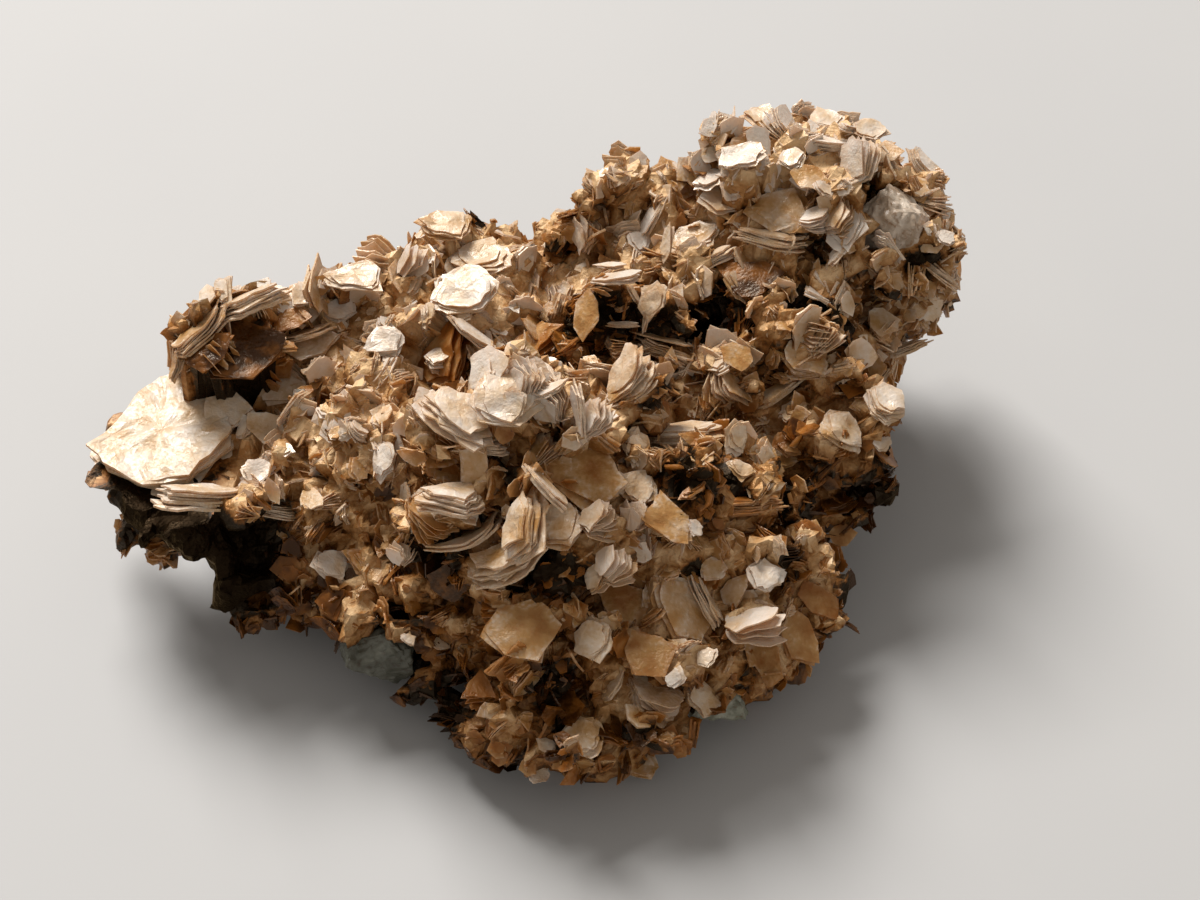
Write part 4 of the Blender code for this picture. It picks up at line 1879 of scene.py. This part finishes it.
LARGE_BOOKS = (
    # A book's tone is partly painted light and shade: the whitest are painted highlight on plates that glint, the
    # darkest painted shade in the hollow, the cave and the flank.
    # The pearly shelf at the low end, with the sheets that show under its front edge.
    LargeBook(Kind.SHELF, 162, 443, 7.4, 0, 50, 0.72, 0.9, corners=WING_CORNERS, cleared=0.80),
    LargeBook(Kind.LEDGE, 205, 497, 3.4, -3, 18, 0.85, 0.5),
    LargeBook(Kind.LEDGE, 270, 505, 2.1, -12, 15, 0.80, 0.5),
    LargeBook(Kind.PLATE, 255, 472, 1.2, 5, 62, 1.00, 0.6),
    LargeBook(Kind.PLATE, 245, 430, 0.9, 60, 45, 0.90),
    LargeBook(Kind.PLATE, 333, 562, 1.4, -55, 55, 1.00, 0.6),
    LargeBook(Kind.BLADE, 310, 600, 1.1, -10, 30, 0.80),
    # The hollow behind the shelf: smooth brown planks under a curved rim, the darkest of them in painted shade.
    LargeBook(Kind.SMOOTH, 245, 350, 3.0, -14, 60, -0.28, 0.2),
    LargeBook(Kind.SMOOTH, 312, 345, 2.0, 10, 55, 0.64, 0.4),
    LargeBook(Kind.SMOOTH, 285, 388, 1.6, -10, 64, 0.72, 0.3),
    LargeBook(Kind.SMOOTH, 228, 412, 1.7, 5, 60, 0.84, 0.4),
    LargeBook(Kind.SMOOTH, 262, 428, 1.5, -25, 60, 0.78, 0.4),
    LargeBook(Kind.SMOOTH, 290, 320, 1.2, 15, 60, 0.20, 0.3),
    LargeBook(Kind.SMOOTH, 205, 352, 1.6, 40, 70, -0.10, 0.2),
    LargeBook(Kind.BLADE, 305, 333, 1.9, 15, 15, 0.72, 0.5),
    LargeBook(Kind.LEDGE, 200, 335, 2.6, 45, 25, 0.55, 0.3, bend=0.05),
    LargeBook(Kind.LEDGE, 255, 300, 2.9, 22, 25, 0.70, 0.3, bend=-0.04),
    LargeBook(Kind.LEDGE, 176, 366, 1.3, 74, 25, 0.45, 0.2),
    # White and cream plates along the back of the wing, their white partly painted highlight.
    LargeBook(Kind.PLATE, 385, 336, 1.5, 20, 62, 1.00, 0.7),
    LargeBook(Kind.PLATE, 345, 312, 1.3, -20, 55, 1.00, 0.6),
    LargeBook(Kind.PLATE, 308, 295, 1.3, -10, 50, 0.90),
    LargeBook(Kind.PLATE, 462, 292, 2.3, 15, 55, 0.86),
    LargeBook(Kind.PLATE, 355, 276, 1.8, 10, 50, 0.76),
    LargeBook(Kind.ROSETTE, 415, 265, 1.2, 30, 50, 1.00),
    LargeBook(Kind.PLATE, 482, 258, 2.0, 10, 45, 0.70),
    LargeBook(Kind.PLATE, 450, 228, 1.9, 0, 45, 0.62),
    # Amber fans between the white plates and the crown.
    LargeBook(Kind.FAN, 450, 362, 2.2, 55, 45, 0.14, 0.3),
    LargeBook(Kind.BLADE, 472, 338, 1.7, -38, 20, 0.92, 0.7),
    LargeBook(Kind.FAN, 440, 366, 1.0, -5, 40, 0.85, 0.8),
    LargeBook(Kind.FAN, 535, 348, 1.7, 20, 40, 0.16, 0.1),
    # The crown.
    LargeBook(Kind.PLATE, 505, 395, 2.5, -8, 56, 0.72, 0.9),
    LargeBook(Kind.ROSETTE, 500, 382, 1.6, 20, 48, 0.92, 1.0),
    LargeBook(Kind.ROSETTE, 538, 378, 1.5, 65, 45, 0.96, 1.1),
    LargeBook(Kind.FAN, 556, 402, 1.5, 120, 35, 0.88, 1.1),
    LargeBook(Kind.PLATE, 478, 372, 1.1, 60, 40, 0.84, 0.9),
    LargeBook(Kind.BLADE, 573, 414, 1.8, 98, 15, 1.00, 1.5),
    LargeBook(Kind.BLADE, 563, 391, 1.3, 25, 30, 1.00, 1.5),
    LargeBook(Kind.FAN, 522, 386, 1.3, 82, 25, 0.95, 1.4),
    LargeBook(Kind.ROSETTE, 494, 386, 1.0, 30, 50, 1.00, 1.4),
    LargeBook(Kind.PLATE, 511, 405, 1.0, 80, 70, 0.72, 1.5),
    LargeBook(Kind.FAN, 590, 426, 1.2, 62, 40, 0.95, 1.0),
    LargeBook(Kind.STACK, 455, 420, 2.6, -22, 42, 0.78, 1.1),
    LargeBook(Kind.ROSETTE, 428, 402, 1.0, 30, 50, 0.90, 1.2),
    LargeBook(Kind.LEDGE, 478, 447, 1.7, -5, 15, 0.80, 0.8),
    LargeBook(Kind.FAN, 541, 450, 1.1, 40, 30, 0.62, 0.7),
    LargeBook(Kind.BLADE, 542, 480, 1.8, -45, 12, 0.72, 1.3),
    LargeBook(Kind.SMOOTH, 583, 470, 2.6, -20, 66, 0.40, 0.4),
    LargeBook(Kind.PLATE, 611, 485, 0.8, 10, 75, 0.76, 0.9),
    LargeBook(Kind.PLATE, 637, 490, 1.4, -25, 60, 0.60, 0.7),
    # The striped books under the crown.
    LargeBook(Kind.STACK, 455, 497, 2.4, -6, 24, 0.82, 1.0),
    LargeBook(Kind.BLADE, 478, 530, 2.5, 32, 14, 0.66, 0.9, bend=0.12),
    LargeBook(Kind.STACK, 497, 560, 2.7, 34, 36, 0.66, 0.9, bend=0.06),
    LargeBook(Kind.STACK, 528, 520, 2.4, 74, 34, 0.70, 0.8),
    LargeBook(Kind.PLATE, 560, 524, 1.8, -5, 60, 0.50, 0.9),
    LargeBook(Kind.SMOOTH, 458, 465, 1.7, -30, 60, 0.34, 0.5),
    LargeBook(Kind.FAN, 428, 525, 1.4, -50, 30, 0.30),
    LargeBook(Kind.ROSETTE, 404, 552, 0.8, 90, 45, 0.80),
    LargeBook(Kind.PLATE, 381, 458, 1.3, 80, 52, 1.00, 0.7),
    # Small rosettes right of the crown's foot.
    LargeBook(Kind.ROSETTE, 602, 520, 1.1, 10, 45, 0.70, 0.7),
    LargeBook(Kind.ROSETTE, 628, 516, 0.9, 60, 50, 0.85, 0.7),
    LargeBook(Kind.ROSETTE, 615, 566, 1.1, 35, 45, 0.78, 0.7),
    LargeBook(Kind.ROSETTE, 640, 543, 0.9, 110, 45, 0.90, 0.7),
    LargeBook(Kind.FAN, 594, 573, 1.0, 60, 40, 0.72, 0.7),
    # The starburst and the silvery sheets at the cave, silvery partly as painted highlight, with one plate by the
    # cave darkened as painted shade.
    LargeBook(Kind.BLADE, 614, 283, 1.7, 8, 25, 0.95, 0.9),
    LargeBook(Kind.PLATE, 640, 243, 1.1, -35, 50, 1.00, 0.9),
    LargeBook(Kind.BLADE, 666, 243, 1.2, 80, 40, 0.86, 0.9),
    LargeBook(Kind.PLATE, 655, 302, 1.1, 85, 60, 0.70, 0.8),
    LargeBook(Kind.BLADE, 632, 297, 0.9, -60, 20, 0.80, 0.7),
    LargeBook(Kind.BLADE, 645, 318, 0.9, 80, 15, 0.75, 0.7),
    LargeBook(Kind.BLADE, 613, 269, 0.9, 0, 35, 0.90, 0.8),
    LargeBook(Kind.BLADE, 655, 218, 1.7, 62, 20, 0.95, 0.9),
    LargeBook(Kind.PLATE, 695, 240, 1.8, 25, 45, 0.66, 0.5),
    LargeBook(Kind.LEDGE, 712, 256, 2.0, 24, 20, 0.80, 0.7),
    LargeBook(Kind.VEE, 660, 346, 2.6, -24, 16, 0.60, 0.7),
    LargeBook(Kind.LEDGE, 668, 352, 2.3, -22, 14, 0.56, 0.7),
    LargeBook(Kind.BLADE, 611, 338, 1.3, -60, 18, 0.84, 0.9),
    LargeBook(Kind.BLADE, 620, 320, 0.9, -2, 25, 0.84, 0.9),
    LargeBook(Kind.FAN, 588, 228, 1.4, 85, 35, 0.80, 0.7),
    LargeBook(Kind.SMOOTH, 586, 312, 1.5, 80, 50, 0.40, 0.3),
    LargeBook(Kind.PLATE, 565, 298, 0.9, 80, 50, 0.85, 0.6),
    LargeBook(Kind.SMOOTH, 750, 277, 1.8, 0, 60, -0.15, 0.2),
    LargeBook(Kind.SMOOTH, 735, 354, 1.2, -25, 60, 0.36, 0.5),
    LargeBook(Kind.FAN, 632, 378, 1.7, 45, 32, 0.60, 0.6),
    LargeBook(Kind.FAN, 722, 385, 1.6, -70, 35, 0.60, 0.6),
    # The knob.
    LargeBook(Kind.PLATE, 742, 160, 1.6, 15, 50, 1.00, 0.7),
    LargeBook(Kind.PLATE, 706, 177, 1.0, 20, 50, 0.95, 0.6),
    LargeBook(Kind.PLATE, 790, 159, 1.1, 12, 48, 0.92, 0.6),
    LargeBook(Kind.SMOOTH, 806, 180, 1.2, -10, 60, 0.50, 0.8),
    LargeBook(Kind.PLATE, 828, 188, 0.8, -40, 50, 1.00, 0.7),
    LargeBook(Kind.SMOOTH, 782, 208, 1.9, 10, 62, 0.50, 0.2),
    LargeBook(Kind.SMOOTH, 730, 198, 1.6, -5, 60, 0.70, 0.3),
    LargeBook(Kind.LEDGE, 765, 240, 2.4, -8, 16, 0.74, 0.4),
    LargeBook(Kind.FAN, 858, 163, 1.4, 75, 35, 0.88, 0.6),
    LargeBook(Kind.SMOOTH, 880, 155, 1.2, 10, 58, 0.55, 0.6),
    LargeBook(Kind.BLADE, 843, 247, 1.3, 50, 30, 0.78, 0.7),
    LargeBook(Kind.FAN, 838, 217, 1.4, 50, 35, 0.70, 0.3),
    LargeBook(Kind.LEDGE, 924, 165, 2.0, -50, 35, 0.86, 0.4),
    LargeBook(Kind.PLATE, 943, 238, 0.8, -10, 55, 1.00, 0.5),
    LargeBook(Kind.FAN, 822, 343, 1.3, 50, 30, 0.66, 0.7),
    LargeBook(Kind.LEDGE, 898, 349, 1.7, 22, 18, 0.68, 0.5),
    LargeBook(Kind.SMOOTH, 866, 368, 1.4, 60, 58, 0.38, 0.5),
    LargeBook(Kind.PLATE, 762, 116, 1.3, 0, 42, 0.80, 0.5),
    LargeBook(Kind.PLATE, 822, 116, 1.3, -5, 42, 0.84, 0.5),
    LargeBook(Kind.PLATE, 872, 128, 1.2, -15, 42, 0.80, 0.5),
    # The right-hand ledge and the plates between it and the slot.
    LargeBook(Kind.STACK, 884, 407, 1.8, -30, 50, 0.92, 0.8),
    LargeBook(Kind.PLATE, 874, 441, 0.7, -10, 60, 1.00, 0.9),
    LargeBook(Kind.PLATE, 845, 432, 1.8, -50, 55, 0.66, 0.6),
    LargeBook(Kind.BLADE, 770, 400, 2.3, 30, 25, 0.62, 0.8),
    LargeBook(Kind.SMOOTH, 772, 448, 1.9, -10, 60, 0.44, 0.5),
    LargeBook(Kind.LEDGE, 680, 440, 3.3, 3, 20, 0.74, 0.8),
    LargeBook(Kind.PLATE, 740, 470, 0.8, -20, 62, 0.66, 0.6),
    LargeBook(Kind.LEDGE, 748, 505, 2.4, 5, 16, 0.20, 0.3),
    LargeBook(Kind.SMOOTH, 674, 520, 1.7, -30, 66, 0.42, 0.9),
    LargeBook(Kind.PLATE, 696, 524, 0.6, -55, 50, 1.00, 1.3),
    # The lower right: pale plates, the open vee and the dull plates of the flank, these darkened partly as painted
    # shade.
    LargeBook(Kind.PLATE, 764, 576, 1.4, -25, 55, 0.96, 0.7),
    LargeBook(Kind.PLATE, 715, 570, 0.9, 0, 60, 0.60, 0.6),
    LargeBook(Kind.SMOOTH, 733, 592, 1.2, 60, 58, 0.55, 0.6),
    LargeBook(Kind.VEE, 752, 620, 2.0, 6, 22, 0.82, 1.0),
    LargeBook(Kind.LEDGE, 706, 606, 2.1, -65, 20, 0.76, 0.9),
    LargeBook(Kind.SMOOTH, 684, 612, 2.2, -60, 64, 0.50, 0.7),
    LargeBook(Kind.SMOOTH, 800, 640, 1.7, -70, 70, 0.20, 0.2),
    LargeBook(Kind.SMOOTH, 820, 600, 1.4, -50, 70, 0.12, 0.2),
    LargeBook(Kind.SMOOTH, 768, 660, 1.5, 80, 70, 0.26, 0.2),
    LargeBook(Kind.SMOOTH, 848, 537, 1.0, 0, 70, 0.25, 0.2),
    # The foot.
    LargeBook(Kind.SMOOTH, 524, 628, 2.4, -2, 70, 0.34, 0.1),
    LargeBook(Kind.PLATE, 590, 640, 1.5, 45, 50, 0.66, 0.8),
    LargeBook(Kind.SMOOTH, 620, 602, 1.7, -20, 70, 0.28, 0.2),
    LargeBook(Kind.SMOOTH, 648, 652, 1.9, 0, 66, 0.24, 0.3),
    LargeBook(Kind.PLATE, 677, 677, 0.8, 40, 60, 1.00, 0.9),
    LargeBook(Kind.PLATE, 700, 695, 1.3, -60, 45, 0.72, 0.6),
    LargeBook(Kind.FAN, 650, 700, 1.8, -40, 35, 0.72, 0.6),
    LargeBook(Kind.BLADE, 610, 688, 1.3, 58, 25, 0.70, 0.6),
    LargeBook(Kind.PLATE, 704, 655, 0.7, 40, 45, 0.92, 0.7),
    LargeBook(Kind.PLATE, 582, 735, 1.5, -5, 60, 0.62, 0.6),
    LargeBook(Kind.PLATE, 409, 639, 0.5, -45, 55, 0.90, 0.5),
    LargeBook(Kind.PLATE, 438, 642, 0.6, -10, 50, 0.85, 0.5),
    LargeBook(Kind.PLATE, 522, 657, 0.6, -35, 50, 0.85, 0.9),
    LargeBook(Kind.PLATE, 547, 743, 0.6, -30, 55, 0.85, 0.5),
    LargeBook(Kind.PLATE, 540, 776, 0.8, -8, 50, 0.90, 0.4),
    LargeBook(Kind.PLATE, 640, 766, 1.3, -10, 50, 0.50, 0.4),
)


# -------------------------------------------------------------------------------------------------- matrix


@dataclass
class MatrixStone:
    """A bit of the host rock: the frame's faceted stone, with its faces broken up finer."""

    node: str
    piece: str
    slot: str
    finish: StoneFinish
    levels: int = 4
    rough: float = 0.28
    rough_size: float = 1.4
    octaves: int = 4
    fractal_share: float = 0.5
    crack_pitch: float = 2.3
    sunk: float = 0.3

    def build(self) -> bpy.types.Object:
        """Makes the stone.

        Returns:
            The piece, which stands for its node.
        """
        bm = bmesh.new()
        bm.from_mesh(frame["nodes"][self.node].data)
        bmesh.ops.remove_doubles(bm, verts=bm.verts, dist=SAME_PLACE)
        for _ in range(self.levels):
            bmesh.ops.subdivide_edges(bm, edges=bm.edges, cuts=1, use_grid_fill=True)
        bmesh.ops.triangulate(bm, faces=bm.faces)
        bm.normal_update()
        moves = [vert.normal * self.depth_at(vert.co) * self.rough * MM for vert in bm.verts]
        for vert, move in zip(bm.verts, moves):
            vert.co += move
        mesh = bpy.data.meshes.new(self.piece)
        bm.to_mesh(mesh)
        bm.free()
        mesh.materials.clear()
        mesh.materials.append(self.finish.make())
        piece = link(mesh, self.piece)
        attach(piece, "root")
        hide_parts(self.node)
        LOG.info("%s: %d triangles", self.piece, len(mesh.polygons))
        return piece

    def depth_at(self, place: Vector) -> float:
        """Says how far the stone's surface stands out at a place, as a share of its roughness.

        Args:
            place: The place, in metres.

        Returns:
            The share, which may be less than zero.
        """
        spot = place / (self.rough_size * MM)
        lumps = noise.fractal(spot, 1.0, 2.0, self.octaves) * self.fractal_share
        return lumps + abs(noise.noise(spot * self.crack_pitch)) - self.sunk


QUARTZ = StoneFinish("grey_quartz", (0.64, 0.55, 0.45), (0.38, 0.29, 0.21), (0.22, 0.11, 0.04), (0.18, 0.5))
FELDSPAR = StoneFinish("pale_feldspar", (0.28, 0.28, 0.22), (0.15, 0.155, 0.11), (0.12, 0.07, 0.03), (0.45, 0.8))
# A darker copy of the feldspar: painted shade for the bit that lies low at the left, where the cluster shades it.
SHADED = replace(FELDSPAR, name="shaded_feldspar", pale=(0.11, 0.11, 0.085), grey=(0.065, 0.065, 0.045),
                 stain=(0.04, 0.022, 0.01))
MATRIX_STONES = (
    MatrixStone("matrix_knob", "quartz_knob", "quartz", QUARTZ),
    MatrixStone("matrix_front", "feldspar_front", "feldspar", FELDSPAR),
    MatrixStone("matrix_left", "feldspar_left", "feldspar", SHADED),
)


# -------------------------------------------------------------------------------------------------- studio


@dataclass(frozen=True)
class AreaLight:
    """A soft square light that looks at the cluster. Places are millimetres, energy watts."""

    name: str
    place: Triple
    size: float
    energy: float
    colour: Colour

    def build(self, target: Vector) -> bpy.types.Object:
        """Makes the light.

        Args:
            target: What it looks at, in metres.

        Returns:
            The light.
        """
        data = bpy.data.lights.new(self.name, "AREA")
        data.shape, data.size, data.energy, data.color = "SQUARE", self.size * MM, self.energy, self.colour
        light = bpy.data.objects.new(self.name, data)
        light.location = Vector(self.place) * MM
        light.rotation_euler = (target - light.location).to_track_quat("-Z", "Y").to_euler()
        bpy.context.scene.collection.objects.link(light)
        return light


@dataclass
class Studio:
    """A pale floor, two soft lights and a pale surround."""

    floor_half: float = 900.0
    aim: Triple = (0.0, 0.0, 10.0)
    surround: Colour = (0.88, 0.82, 0.75)
    surround_strength: float = 0.46
    lights: tuple[AreaLight, ...] = (
        AreaLight("window", (-290.0, 580.0, 730.0), 440.0, 16.8, (1.0, 0.97, 0.93)),
        AreaLight("front_fill", (160.0, -330.0, 180.0), 260.0, 0.10, (1.0, 0.97, 0.94)),
    )

    def build(self) -> None:
        """Makes the floor, the lights and the surround."""
        bm = bmesh.new()
        bmesh.ops.create_grid(bm, x_segments=2, y_segments=2, size=self.floor_half * MM)
        mesh = bpy.data.meshes.new("studio_floor")
        bm.to_mesh(mesh)
        bm.free()
        mesh.materials.append(FloorFinish().make())
        link(mesh, "studio_floor")
        for light in self.lights:
            light.build(Vector(self.aim) * MM)
        world = bpy.data.worlds.new("surround")
        world.use_nodes = True
        sky = world.node_tree.nodes["Background"]
        sky.inputs["Color"].default_value = (*self.surround, 1.0)
        sky.inputs["Strength"].default_value = self.surround_strength
        bpy.context.scene.world = world
        bpy.context.scene.view_settings.view_transform = "Standard"


# ---------------------------------------------------------------------------------------------------- main


def main() -> None:
    """Builds the cluster and its studio."""
    logging.basicConfig(level=logging.INFO, format="%(message)s", stream=sys.stdout)
    view = Viewpoint()
    view.make_camera()
    MicaCluster(GroundMass(view, RECESSES), view, CLUSTER_PATCHES, LARGE_BOOKS).build()
    for stone in MATRIX_STONES:
        stone.build()
    Studio().build()


if __name__ == "__main__":
    main()
